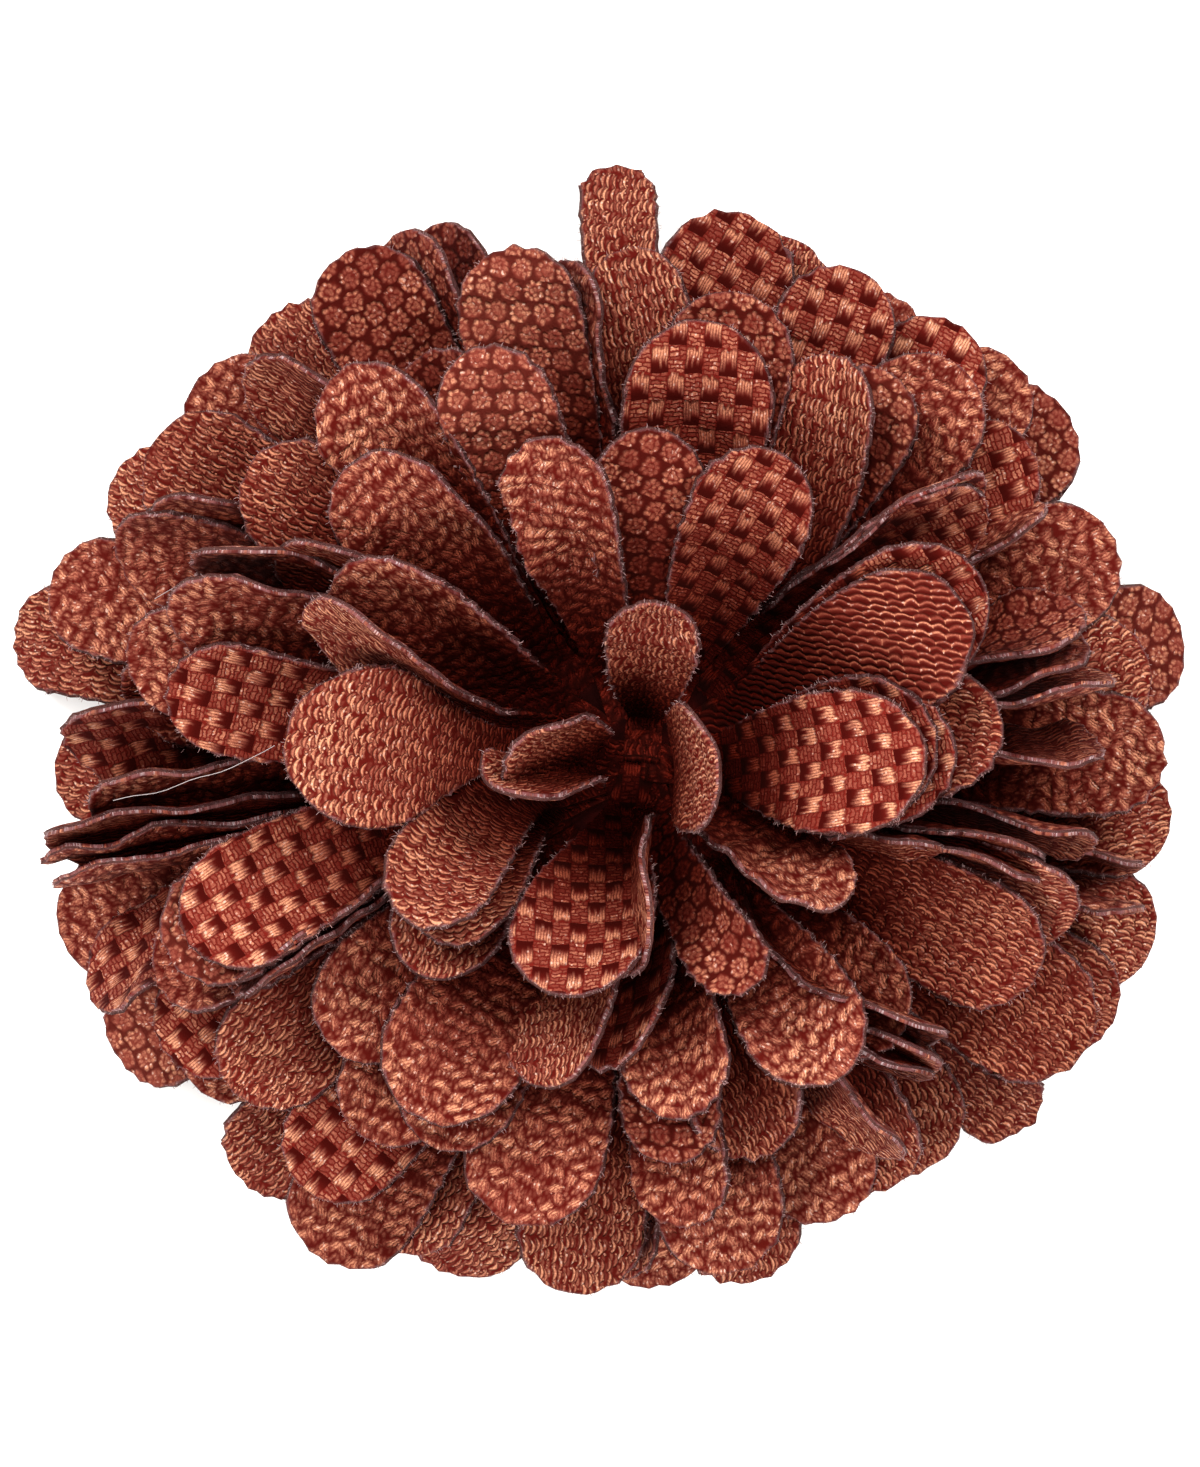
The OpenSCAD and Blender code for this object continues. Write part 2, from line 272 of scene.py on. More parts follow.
class Skin:
    """Points, faces and per-point values of one piece while it is being made, in mm."""

    def __init__(self) -> None:
        """Starts with nothing."""
        self.points: list[Array] = []
        self.quads: list[Ids] = []
        self.cloth: list[Array] = []
        self.values: dict[str, list[Array]] = {"edge": [], "along": [], "tone": [], "open_air": []}
        self.slots: list[Ids] = []
        self.count = 0

    def add(self, points: Array, quads: Ids, cloth: Array, edge: Array, along: Array,
            open_air: Array, tone: float, slots: Ids) -> None:
        """Adds one closed shell.

        Args:
            points: Its points, mm.
            quads: Its faces, four point numbers each.
            cloth: Each point's place on the flat cloth, mm.
            edge: Each point's distance from the cut edge, mm.
            along: Each point's share of the way from root to tip.
            open_air: How open each point lies, from 0 deep in the flower to 1; it sets painted
                shade in the petal colour.
            tone: The shell's own lightness, about 0.
            slots: Material number of each face.
        """
        self.points.append(points)
        self.quads.append(quads + self.count)
        self.cloth.append(cloth)
        self.values["edge"].append(edge)
        self.values["along"].append(along)
        self.values["open_air"].append(open_air)
        self.values["tone"].append(np.full(len(points), tone))
        self.slots.append(slots)
        self.count += len(points)

    def to_object(self, name: str, materials: list[bpy.types.Material]) -> bpy.types.Object:
        """Makes the piece.

        Args:
            name: Its name.
            materials: Its materials, in the order of the face numbers.

        Returns:
            The new object, in metres.
        """
        points = np.vstack(self.points) * MM
        quads = np.vstack(self.quads)
        mesh = bpy.data.meshes.new(name)
        mesh.vertices.add(len(points))
        mesh.vertices.foreach_set("co", points.astype(np.float32).ravel())
        mesh.loops.add(quads.size)
        mesh.loops.foreach_set("vertex_index", quads.astype(np.int32).ravel())
        mesh.polygons.add(len(quads))
        mesh.polygons.foreach_set("loop_start", np.arange(0, quads.size, 4, dtype=np.int32))
        mesh.polygons.foreach_set("material_index", np.concatenate(self.slots).astype(np.int32))
        mesh.polygons.foreach_set("use_smooth", np.ones(len(quads), bool))
        mesh.update(calc_edges=True)
        layer = mesh.uv_layers.new(name=CLOTH_MAP)
        flat = np.vstack(self.cloth)[quads.ravel()]
        layer.data.foreach_set("uv", flat.astype(np.float32).ravel())
        for key, parts in self.values.items():
            attribute = mesh.attributes.new(key, "FLOAT", "POINT")
            attribute.data.foreach_set("value", np.concatenate(parts).astype(np.float32))
        for material in materials:
            mesh.materials.append(material)
        mesh.validate()
        piece = bpy.data.objects.new(name, mesh)
        bpy.context.scene.collection.objects.link(piece)
        return piece


class OpenAir:
    """How open the cloth lies: the share of rays that leave it and meet no other petal. The petal
    material darkens its colour by this value, as painted shade.
    """

    def __init__(self, reach: float = 9.0, rays: int = 26, skip: int = 3, lift: float = 0.3,
                 below: float = 0.45, met: float = 0.25) -> None:
        """Chooses the rays, spread evenly over a half ball.

        Args:
            reach: How far a ray looks, mm.
            rays: How many rays leave each tested point.
            skip: Only every so many grid points are tested, and the rest lie between them.
            lift: How far above the cloth a ray starts, mm.
            below: Light that comes from below the flower, as a share of that from above.
            met: Light of a ray that meets a petal at the end of its reach, as a share.
        """
        self.reach, self.skip, self.lift, self.below, self.met = reach, skip, lift, below, met
        turn = np.arange(rays) * math.pi * (3 - math.sqrt(5))
        out = np.sqrt((np.arange(rays) + 0.5) / rays)
        self.rays = np.stack([out * np.cos(turn), out * np.sin(turn), np.sqrt(1 - out * out)], 1)
        self.tree: BVHTree | None = None

    def gather(self, grids: list[Array]) -> None:
        """Takes the middle surfaces of all petals.

        Args:
            grids: One grid of points for each petal, mm.
        """
        points, faces, count = [], [], 0
        for grid in grids:
            coarse = grid[:: self.skip, :: self.skip]
            rows, cols = coarse.shape[:2]
            ids = np.arange(rows * cols).reshape(rows, cols) + count
            faces += grid_quads(ids).tolist()
            points += coarse.reshape(-1, 3).tolist()
            count += rows * cols
        self.tree = BVHTree.FromPolygons(points, faces)

    def over(self, grid: Array, normal: Array) -> Array:
        """How open one side of a petal lies.

        Args:
            grid: Its points, mm.
            normal: The directions that the side faces.

        Returns:
            A value from 0 to 1 for each point.
        """
        k = self.skip
        points = grid[::k, ::k].reshape(-1, 3)
        ahead = normal[::k, ::k].reshape(-1, 3)
        one, two = beside(ahead)
        found = np.zeros(len(points))
        for ray in self.rays:
            ways = one * ray[0] + two * ray[1] + ahead * ray[2]
            for i, way in enumerate(ways):
                start = Vector(points[i] + ahead[i] * self.lift)
                gap = self.tree.ray_cast(start, Vector(way), self.reach)[3]
                seen = 1.0 if gap is None else self.met * gap / self.reach
                found[i] += seen * (1.0 if way[2] > 0 else self.below)
        found = (found / len(self.rays)).reshape(grid[::k, ::k].shape[:2])
        rows, cols = grid.shape[:2]
        down, right = (np.maximum(0, 1 - np.abs(np.arange(n)[:, None] - np.arange(0, n, k)) / k)
                       for n in (rows, cols))
        return (down / down.sum(1, keepdims=True)) @ found @ (right / right.sum(1, keepdims=True)).T


@dataclass
class PetalForm:
    """The shape of one petal, worked out from its row, its ring and the cloth."""

    petal: Petal
    ring: RingSizes
    sizes: FlowerSizes
    cloth: ClothSizes
    rng: np.random.Generator

    def __post_init__(self) -> None:
        """Works out the middle line's points and the petal's length and width."""
        self.root, self.tip = self.find_root(), self.find_tip()
        self.bow = self.find_bow()
        self.length = float(np.linalg.norm(self.tip - self.root))
        self.wide = self.petal.wide * self.sizes.petal_w
        self.turn_in = 1 - self.wide / self.length / 2

    def find_root(self) -> Array:
        """Point where the petal leaves its ring."""
        z = self.sizes
        turn = math.radians(self.petal.turn - self.petal.sway / 2)
        r = self.root_r = min(self.ring.radius, self.petal.reach * z.width / 2 * z.root_limit)
        lift = (self.petal.rise - self.ring.usual_rise) * z.root_follow
        level = z.root_z + self.ring.level * z.root_pitch
        level += max(-z.root_spread, min(z.root_spread, lift))
        return z.place(r, turn, level)

    def find_tip(self) -> Array:
        """Point of the petal's tip."""
        z = self.sizes
        return z.place(self.petal.reach * z.width / 2, math.radians(self.petal.turn),
                       self.petal.rise * z.height)

    def find_bow(self) -> Array:
        """Point that the middle line bows towards."""
        a, b, turn = self.root, self.tip, math.radians(self.petal.turn)
        left = np.array([-math.sin(turn), math.cos(turn), 0.0])
        up = unit(np.cross(b - a, left))
        up = up if up[2] >= 0 else -up
        plan = math.hypot(b[0] - a[0], b[1] - a[1])
        sway = math.tan(math.radians(self.petal.sway)) * plan / 2
        arch = (self.ring.arch + self.petal.bend) * np.linalg.norm(b - a)
        return (a + b) / 2 + up * arch - left * sway

    def widening(self, s: Array) -> Array:
        """Share of the full width at shares s of the length, leaving out the rounded tip."""
        start = self.ring.root_w / self.wide
        widest = np.sin(np.pi / 2 * np.clip(s / self.turn_in, 0, 1))
        return start + (1 - start) * widest ** self.petal.waist

    def flat_grid(self) -> tuple[Array, Array]:
        """Grid of the flat cut, up to the tip: shares of the length and places across it, mm."""
        c = self.cloth
        theta = np.linspace(-np.pi / 2, np.pi / 2, c.across + 1)
        side = np.sign(theta) * np.abs(np.sin(theta)) ** (2 * self.petal.tip)
        end = self.turn_in + (1 - self.turn_in) * np.cos(theta)
        v = 1 - (1 - np.linspace(0, 1, c.along + 1)) ** c.row_ease
        s = v[:, None] * end[None, :]
        tuck = -max(c.tuck_least, self.root_r - c.tuck_to) / self.length
        tuck = np.linspace(tuck, 0, c.tuck_rows, endpoint=False)
        s = np.vstack([np.repeat(tuck[:, None], len(theta), 1), s])
        return s, side[None, :] * self.wide / 2 * self.widening(s)

    def frames(self, s: Array) -> tuple[Array, Array, Array, Array]:
        """Middle line and its directions at shares s of the length.

        Args:
            s: Shares of the length.

        Returns:
            The points, and the forward, leftward and upward directions.
        """
        a, m, b, t, p = self.root, self.bow, self.tip, s[..., None], self.petal
        middle = bowed(t, a, m, b)
        forward = unit((1 - t) * (m - a) + t * (b - m))
        heading = np.radians(p.turn + p.sway * s)
        level = np.stack([-np.sin(heading), np.cos(heading), np.zeros_like(s)], -1)
        flat = unit(level - (level * forward).sum(-1, keepdims=True) * forward)
        above = np.cross(forward, flat)
        roll = np.radians(p.roll) * np.minimum(1, t / self.sizes.roll_share)
        return (middle, forward, flat * np.cos(roll) + above * np.sin(roll),
                above * np.cos(roll) - flat * np.sin(roll))

    def cut(self, x: Array, y: Array) -> tuple[Array, Array, Array]:
        """Gives the flat petal its scalloped, fused edge.

        Args:
            x: Places across the flat petal, mm.
            y: Places along the flat petal, mm.

        Returns:
            The moved places across and along, and each point's distance from the edge, mm.
        """
        c = self.cloth
        rim = np.stack([rim_of(x), rim_of(y)], 1)
        fine = np.linspace(0, len(rim) - 1, c.rim_finer * (len(rim) - 1) + 1)
        rim = np.stack([np.interp(fine, np.arange(len(rim)), rim[:, k]) for k in (0, 1)], 1)
        tangent = unit(np.gradient(rim, axis=0) + 1e-12)
        outward = np.stack([-tangent[:, 1], tangent[:, 0]], 1)
        run = run_along(rim)
        ripple = (Ripple(self.rng, c.scallop_pitch, c.scallop).at(run)
                  + Ripple(self.rng, c.fray_pitch, c.fray, 4).at(run))
        ripple *= smooth(np.minimum(run, run[-1] - run), *c.root_plain)
        gap = np.hypot(x[..., None] - rim[:, 0], y[..., None] - rim[:, 1])
        near, away = gap.argmin(-1), gap.min(-1)
        push = ripple[near] * np.exp(-away / c.notch_fade)
        return x + outward[near, 0] * push, y + outward[near, 1] * push, away

    def sag(self, s: Array, x: Array, run: Array) -> Array:
        """How far the cloth lies over its plain form: waves, puckers and a slight curl at the tip.

        Args:
            s: Shares of the length.
            x: Places across, mm.
            run: Places along, mm.

        Returns:
            The heights, mm.
        """
        c = self.cloth
        free = smooth(s, *c.free)
        share = 2 * x / self.wide
        edges = [Ripple(self.rng, c.wave_pitch, c.wave, 2).at(run) for _ in range(2)]
        waves = share ** 2 * np.where(x < 0, edges[0], edges[1])
        lean = self.rng.uniform(-c.pucker_lean, c.pucker_lean)
        pucker = Ripple(self.rng, c.pucker_pitch, c.pucker).at(run + lean * x)
        curl = self.rng.normal(0, c.curl / 2) * np.clip((s - c.curl_from) / c.curl_run, 0, 1) ** 2
        tilt = self.rng.normal(0, c.curl / 3) * share
        return (waves + pucker + curl + tilt) * free

    def shape(self) -> None:
        """Works out the petal's middle surface, its normals and its place on the flat cloth."""
        c, p = self.cloth, self.petal
        s, x = self.flat_grid()
        line = self.frames(np.linspace(0, 1, c.line_steps))[0]
        length = float(np.linalg.norm(np.diff(line, axis=0), axis=1).sum())
        flat_x, flat_y, self.edge = self.cut(x, s * length)
        s = self.far = flat_y / length
        middle, forward, left, top = self.frames(np.maximum(s, 0))
        inward = self.root - np.array([self.sizes.heart_x, self.sizes.heart_y, self.root[2]])
        tucked = -np.minimum(s, 0) * length
        middle = middle - unit(inward) * tucked[..., None]
        lift = self.rng.uniform(*c.tuck_spread) * c.tuck_rise
        middle[..., 2] += lift * smooth(tucked, 0, self.root_r - c.tuck_to)
        share = 2 * flat_x / self.wide
        dish = p.cup * self.wide * share ** 2
        over = dish + self.sag(s, flat_x, flat_y)
        self.centre = middle + left * flat_x[..., None] + top * over[..., None]
        self.normal = unit(top - left * (4 * p.cup * share)[..., None])
        lay = math.radians(p.lay + self.rng.normal(0, c.lay_spread))
        shift = self.rng.uniform(0, c.bolt_shift, 2)
        self.cloth_x = flat_x * math.cos(lay) + flat_y * math.sin(lay) + shift[0]
        self.cloth_y = flat_y * math.cos(lay) - flat_x * math.sin(lay) + shift[1]
        self.tone = float(self.rng.normal(0, 1)) + p.light

    def add_to(self, skin: Skin, upper: int, under: int, air: OpenAir) -> None:
        """Adds the petal to a piece as a closed wall of cloth.

        Args:
            skin: The piece.
            upper: Material number of its upper side.
            under: Material number of its under side.
            air: Measures how open each side lies.
        """
        c, centre, normal, edge = self.cloth, self.centre, self.normal, self.edge
        half = c.half_t - (c.half_t - c.rim_t) * np.exp(-edge / c.rim_fade)
        upper_side = centre + normal * half[..., None]
        under_side = centre - normal * half[..., None]
        open_up, open_down = air.over(centre, normal).ravel(), air.over(centre, -normal).ravel()

        rows, cols = edge.shape
        ids = np.arange(rows * cols).reshape(rows, cols)
        loop = np.concatenate([ids[0, :], ids[1:, -1], ids[-1, -2::-1], ids[-2:0:-1, 0]])
        rim_mid = centre.reshape(-1, 3)[loop]
        tangent = np.roll(rim_mid, -1, 0) - np.roll(rim_mid, 1, 0)
        rim = rim_mid + unit(np.cross(tangent, normal.reshape(-1, 3)[loop])) * c.rim_bulge
        count = rows * cols
        rim_ids = 2 * count + np.arange(len(loop))
        face = grid_quads(ids)
        after = np.roll(np.arange(len(loop)), -1)
        skirt = np.stack([loop, rim_ids, rim_ids[after], loop[after]], 1)
        hem = np.stack([rim_ids, loop + count, loop[after] + count, rim_ids[after]], 1)
        quads = np.vstack([face, face[:, ::-1] + count, skirt, hem])
        slots = np.concatenate([np.full(len(face), upper), np.full(len(face), under),
                                np.full(len(skirt), upper), np.full(len(hem), under)])
        flat_map = np.stack([self.cloth_x.ravel(), self.cloth_y.ravel()], 1)
        far = self.far.ravel()
        skin.add(np.vstack([upper_side.reshape(-1, 3), under_side.reshape(-1, 3), rim]), quads,
                 np.vstack([flat_map, flat_map + c.under_shift, flat_map[loop]]),
                 np.concatenate([edge.ravel(), edge.ravel(), np.full(len(loop), -c.rim_bulge)]),
                 np.concatenate([far, far, far[loop]]),
                 np.concatenate([open_up, open_down, np.maximum(open_up, open_down)[loop]]),
                 self.tone, slots)

    def flat_area(self) -> float:
        """Area of the flat cut of the petal, mm2."""
        s, x = self.flat_grid()
        y = s * self.length
        dx_v, dy_v = np.gradient(x, axis=0), np.gradient(y, axis=0)
        dx_u, dy_u = np.gradient(x, axis=1), np.gradient(y, axis=1)
        return float(np.abs(dx_u * dy_v - dx_v * dy_u).sum())


Socket = bpy.types.NodeSocket


class NodeGraph:
    """Short calls for putting together a material's nodes."""

    def __init__(self, name: str) -> None:
        """Makes an empty material with an output.

        Args:
            name: The material's name.
        """
        self.material = bpy.data.materials.new(name)
        self.material.use_nodes = True
        self.tree = self.material.node_tree
        self.tree.nodes.clear()
        self.output = self.tree.nodes.new("ShaderNodeOutputMaterial")

    def node(self, kind: str, **settings: object) -> bpy.types.Node:
        """Adds a node.

        Args:
            kind: The node's type name.
            settings: Properties to set on it.

        Returns:
            The node.
        """
        made = self.tree.nodes.new(kind)
        for key, value in settings.items():
            setattr(made, key, value)
        return made

    def feed(self, socket: Socket, value: Socket | float) -> None:
        """Links a socket to another, or sets its value."""
        if isinstance(value, bpy.types.NodeSocket):
            self.tree.links.new(value, socket)
        else:
            socket.default_value = value

    def math(self, operation: str, *values: Socket | float, clamp: bool = False) -> Socket:
        """A Math node.

        Args:
            operation: Its operation.
            values: Its inputs.
            clamp: Whether the result is kept from 0 to 1.

        Returns:
            Its result.
        """
        made = self.node("ShaderNodeMath", operation=operation, use_clamp=clamp)
        for socket, value in zip(made.inputs, values):
            self.feed(socket, value)
        return made.outputs[0]

    def times(self, one: Socket | float, two: Socket | float, clamp: bool = False) -> Socket:
        """One value times another."""
        return self.math("MULTIPLY", one, two, clamp=clamp)

    def line(self, value: Socket, slope: Socket | float, start: Socket | float) -> Socket:
        """A value times a slope, plus a start."""
        return self.math("MULTIPLY_ADD", value, slope, start)

    def plus(self, one: Socket, two: Socket) -> Socket:
        """One value plus another."""
        return self.math("ADD", one, two)

    def minus(self, one: Socket | float, two: Socket | float) -> Socket:
        """One value less another."""
        return self.math("SUBTRACT", one, two)

    def over(self, one: Socket, two: Socket | float) -> Socket:
        """One value over another."""
        return self.math("DIVIDE", one, two)

    def whole(self, value: Socket) -> Socket:
        """The whole part of a value."""
        return self.math("FLOOR", value)

    def part(self, value: Socket) -> Socket:
        """What a value has over its whole part."""
        return self.math("FRACT", value)

    def size(self, value: Socket) -> Socket:
        """A value without its sign."""
        return self.math("ABSOLUTE", value)

    def most(self, one: Socket, two: Socket) -> Socket:
        """The larger of two values."""
        return self.math("MAXIMUM", one, two)

    def step(self, value: Socket, low: float, high: float) -> Socket:
        """A smooth step from 0 at low to 1 at high, or falling where low is above high."""
        made = self.node("ShaderNodeMapRange", interpolation_type="SMOOTHSTEP")
        rising = low < high
        self.feed(made.inputs["Value"], value)
        self.feed(made.inputs["From Min"], min(low, high))
        self.feed(made.inputs["From Max"], max(low, high))
        self.feed(made.inputs["To Min"], 0.0 if rising else 1.0)
        self.feed(made.inputs["To Max"], 1.0 if rising else 0.0)
        return made.outputs["Result"]

    def mix(self, share: Socket | float, first: Socket | float, second: Socket | float) -> Socket:
        """A number between first and second."""
        made = self.node("ShaderNodeMix", data_type="FLOAT")
        for index, value in ((0, share), (2, first), (3, second)):
            self.feed(made.inputs[index], value)
        return made.outputs[0]

    def blend(self, share: Socket | float, first: Socket | tuple, second: Socket | tuple,
              kind: str = "MIX") -> Socket:
        """A colour between first and second.

        Args:
            share: How much of second.
            first: First colour.
            second: Second colour.
            kind: How they blend.

        Returns:
            The colour.
        """
        made = self.node("ShaderNodeMix", data_type="RGBA", blend_type=kind)
        for index, value in ((0, share), (6, first), (7, second)):
            if isinstance(value, tuple):
                value = (*value, 1.0)
            self.feed(made.inputs[index], value)
        return made.outputs[2]

    def noise(self, vector: Socket, scale: float, detail: float = 2.0, rough: float = 0.5,
              solid: bool = False) -> Socket:
        """A noise value from 0 to 1 over a flat or solid vector."""
        made = self.node("ShaderNodeTexNoise", noise_dimensions="3D" if solid else "2D")
        self.feed(made.inputs["Vector"], vector)
        self.feed(made.inputs["Scale"], scale)
        self.feed(made.inputs["Detail"], detail)
        self.feed(made.inputs["Roughness"], rough)
        return made.outputs["Fac"]

    def scatter(self, x: Socket, y: Socket, uneven: float) -> tuple[Socket, Socket, Socket]:
        """Place of x and y from the nearest of many scattered points, and that point's own number.

        Args:
            x: Place across, in shares of the points' spacing.
            y: Place along, in shares of their spacing.
            uneven: How far the points leave a square grid, from 0 to 1.

        Returns:
            The distance across, the distance along and the random number.
        """
        made = self.node("ShaderNodeTexVoronoi", voronoi_dimensions="2D")
        place = self.pair(x, y)
        self.feed(made.inputs["Vector"], place)
        self.feed(made.inputs["Scale"], 1.0)
        self.feed(made.inputs["Randomness"], uneven)
        away = self.node("ShaderNodeVectorMath", operation="SUBTRACT")
        self.feed(away.inputs[0], place)
        self.feed(away.inputs[1], made.outputs["Position"])
        split = self.node("ShaderNodeSeparateXYZ")
        self.feed(split.inputs[0], away.outputs[0])
        parts = self.node("ShaderNodeSeparateColor")
        self.feed(parts.inputs[0], made.outputs["Color"])
        return split.outputs[0], split.outputs[1], parts.outputs[0]

    def pair(self, x: Socket | float, y: Socket | float) -> Socket:
        """A flat vector of x and y."""
        joined = self.node("ShaderNodeCombineXYZ")
        self.feed(joined.inputs[0], x)
        self.feed(joined.inputs[1], y)
        return joined.outputs[0]

    def chance(self, x: Socket, y: Socket) -> Socket:
        """A random number from 0 to 1 for each pair of whole numbers x and y."""
        made = self.node("ShaderNodeTexWhiteNoise", noise_dimensions="2D")
        self.feed(made.inputs["Vector"], self.pair(x, y))
        return made.outputs["Value"]

    def wander(self, vector: Socket, scale: float, size: float) -> tuple[Socket, Socket]:
        """Two smooth offsets of up to size, from one noise over a vector."""
        made = self.node("ShaderNodeTexNoise", noise_dimensions="2D")
        self.feed(made.inputs["Vector"], vector)
        self.feed(made.inputs["Scale"], scale)
        self.feed(made.inputs["Detail"], 1.0)
        parts = self.node("ShaderNodeSeparateColor")
        self.feed(parts.inputs[0], made.outputs["Color"])
        return (self.line(parts.outputs[0], 2 * size, -size),
                self.line(parts.outputs[1], 2 * size, -size))

    def hump(self, share: Socket) -> Socket:
        """A rounded rise from 0 at share 0 to 1 at a half and back to 0 at 1."""
        return self.times(self.times(share, 4.0), self.minus(1.0, share))

    def length2(self, x: Socket, y: Socket) -> Socket:
        """Length of the pair x and y."""
        return self.math("SQRT", self.plus(self.times(x, x), self.times(y, y)))

    def own_place(self) -> Socket:
        """Place in the piece's own space, m."""
        return self.node("ShaderNodeTexCoord").outputs["Object"]

    def stretch(self, place: Socket, scale: Triple, turn: Triple = (0.0, 0.0, 0.0)) -> Socket:
        """A place stretched by a scale along each way, and turned."""
        made = self.node("ShaderNodeMapping")
        made.inputs["Scale"].default_value = scale
        made.inputs["Rotation"].default_value = turn
        self.feed(made.inputs["Vector"], place)
        return made.outputs[0]

    def attribute(self, name: str) -> Socket:
        """A per-point value of the mesh."""
        return self.node("ShaderNodeAttribute", attribute_name=name).outputs["Fac"]

    def bump(self, height: Socket, distance: float, strength: float = 1.0) -> Socket:
        """A normal from a height in shares of distance, in metres."""
        made = self.node("ShaderNodeBump")
        made.inputs["Strength"].default_value = strength
        made.inputs["Distance"].default_value = distance
        self.feed(made.inputs["Height"], height)
        return made.outputs["Normal"]

    def finish(self, constants: dict[str, float | tuple],
               links: dict[str, Socket]) -> bpy.types.Material:
        """Ends the material in a Principled shader.

        Args:
            constants: Values set on the shader's own sockets.
            links: Sockets that feed the shader.

        Returns:
            The material.
        """
        shader = self.node("ShaderNodeBsdfPrincipled")
        for key, value in constants.items():
            shader.inputs[key].default_value = (*value, 1.0) if isinstance(value, tuple) else value
        for key, value in links.items():
            self.tree.links.new(value, shader.inputs[key])
        self.tree.links.new(shader.outputs[0], self.output.inputs["Surface"])
        return self.material


@dataclass(frozen=True)
class ClothColours:
    """Colours of the cloth's yarns and of its fused edge, with a pit colour that is painted shade
    in the weave's hollows, a glint colour that is a painted highlight, and a bead colour for pale
    fused beads that are partly painted glint.
    """

    # Painted shade in the weave's hollows.
    pit: Colour = (0.026, 0.0005, 0.0004)
    ground: Colour = (0.098, 0.0062, 0.0040)
    rose: Colour = (0.295, 0.091, 0.060)
    copper: Colour = (0.49, 0.212, 0.121)
    # Painted highlight: the colour of glints on the floats.
    glint: Colour = (0.64, 0.46, 0.38)
    fused: Colour = (0.120, 0.045, 0.046)
    # Pale beads of fused yarn, partly painted glint.
    bead_and_glint: Colour = (0.44, 0.35, 0.36)


class Drawn(NamedTuple):
    """What a weave pattern gives, each from 0 to 1."""

    copper: Socket
    height: Socket
    depth: Socket


class WeavePattern:
    """A weave as nodes: how much copper yarn shows, and how high and how open the cloth lies."""

    wander_rate: float = 1.5
    wander_size: float = 0.075

    def draw(self, g: NodeGraph, x: Socket, y: Socket) -> Drawn:
        """Adds the pattern's nodes.

        Args:
            g: The material's graph.
            x: Place across the cloth, mm.
            y: Place along the cloth, mm.

        Returns:
            The copper shown, the height, and the depth that runs from a dark pit to open ground;
            the pit's darkness is painted shade in the weave's hollows.
        """
        raise NotImplementedError


class BasketWeave(WeavePattern):
    """Rounded clusters of copper strands set like bricks, with broken cross dashes between them."""

    cell_w: float = 0.69
    cell_h: float = 1.07
    strands: float = 6.0
    rung: float = 0.172
    piece: float = 0.38
    lobe: float = 0.03
    ragged_head: float = 0.2
    ragged_foot: float = 0.36
    ladder_lean: float = 0.16
    ladder_wave: float = 0.16
    ladder_wave_rate: float = 4.5
    strand_light: tuple[float, float] = (0.82, 1.14)
    dash_light: tuple[float, float] = (0.25, 0.9)

    def draw(self, g: NodeGraph, x: Socket, y: Socket) -> Drawn:
        """Adds the clusters, which sink into dark red pits at their feet, and the cross dashes."""
        cell_x, cell_y = g.over(x, self.cell_w), g.over(y, self.cell_h)
        col, row = g.whole(cell_x), g.whole(cell_y)
        fx, fy = g.part(cell_x), g.part(cell_y)
        odd = g.math("FLOORED_MODULO", g.plus(col, row), 2.0)
        inset = g.size(g.line(fx, 2.0, -1.0))
        strand = g.times(cell_x, self.strands)
        own, other = g.chance(g.whole(strand), row), g.chance(row, g.whole(strand))
        ridge = g.hump(g.part(strand))
        lobes = g.math("COSINE", g.times(fx, 4 * math.pi))
        head = g.step(g.line(lobes, self.lobe, g.line(other, self.ragged_head, fy)), 1.12, 0.92)
        foot = g.step(g.line(own, -self.ragged_foot, fy), 0.08, 0.4)
        rise = g.times(foot, head)
        body = g.times(rise, g.step(g.line(own, 0.2, inset), 1.22, 0.86))
        # Painted light: each cluster darkens towards its foot as painted shade, and each strand is
        # brighter along its ridge as a painted highlight.
        bundle = g.times(g.times(body, g.mix(g.step(fy, 0.3, 0.8), 0.55, 1.12)),
                        g.times(g.mix(ridge, 0.5, 1.0), g.mix(other, *self.strand_light)))
        lean = g.times(g.minus(g.chance(row, col), 0.5), self.ladder_lean)
        uneven = g.times(g.noise(g.pair(x, y), self.ladder_wave_rate, 1.0), self.ladder_wave)
        rungs = g.over(g.plus(g.plus(y, uneven), g.times(lean, fx)), self.rung)
        level = g.whole(rungs)
        bits = g.plus(g.over(x, self.piece), g.chance(level, 5.0))
        kept = g.chance(level, g.whole(bits))
        dash = g.times(g.step(g.hump(g.part(rungs)), 0.1, 0.9),
                      g.step(g.hump(g.part(bits)), 0.0, 0.45))
        even = g.step(g.attribute("tone"), 1.4, -1.2)
        ladder = g.times(g.times(dash, g.step(inset, 1.08, 0.7)),
                        g.times(g.mix(kept, *self.dash_light), g.mix(even, 0.52, 0.85)))
        bundle = g.times(bundle, g.mix(even, 1.0, 0.86))
        return Drawn(g.mix(odd, bundle, ladder),
                     g.mix(odd, g.times(body, g.mix(ridge, 0.7, 1.0)),
                           g.line(dash, 0.3, 0.3)),
                     g.mix(odd, g.step(fy, 0.1, 0.9), 0.85))


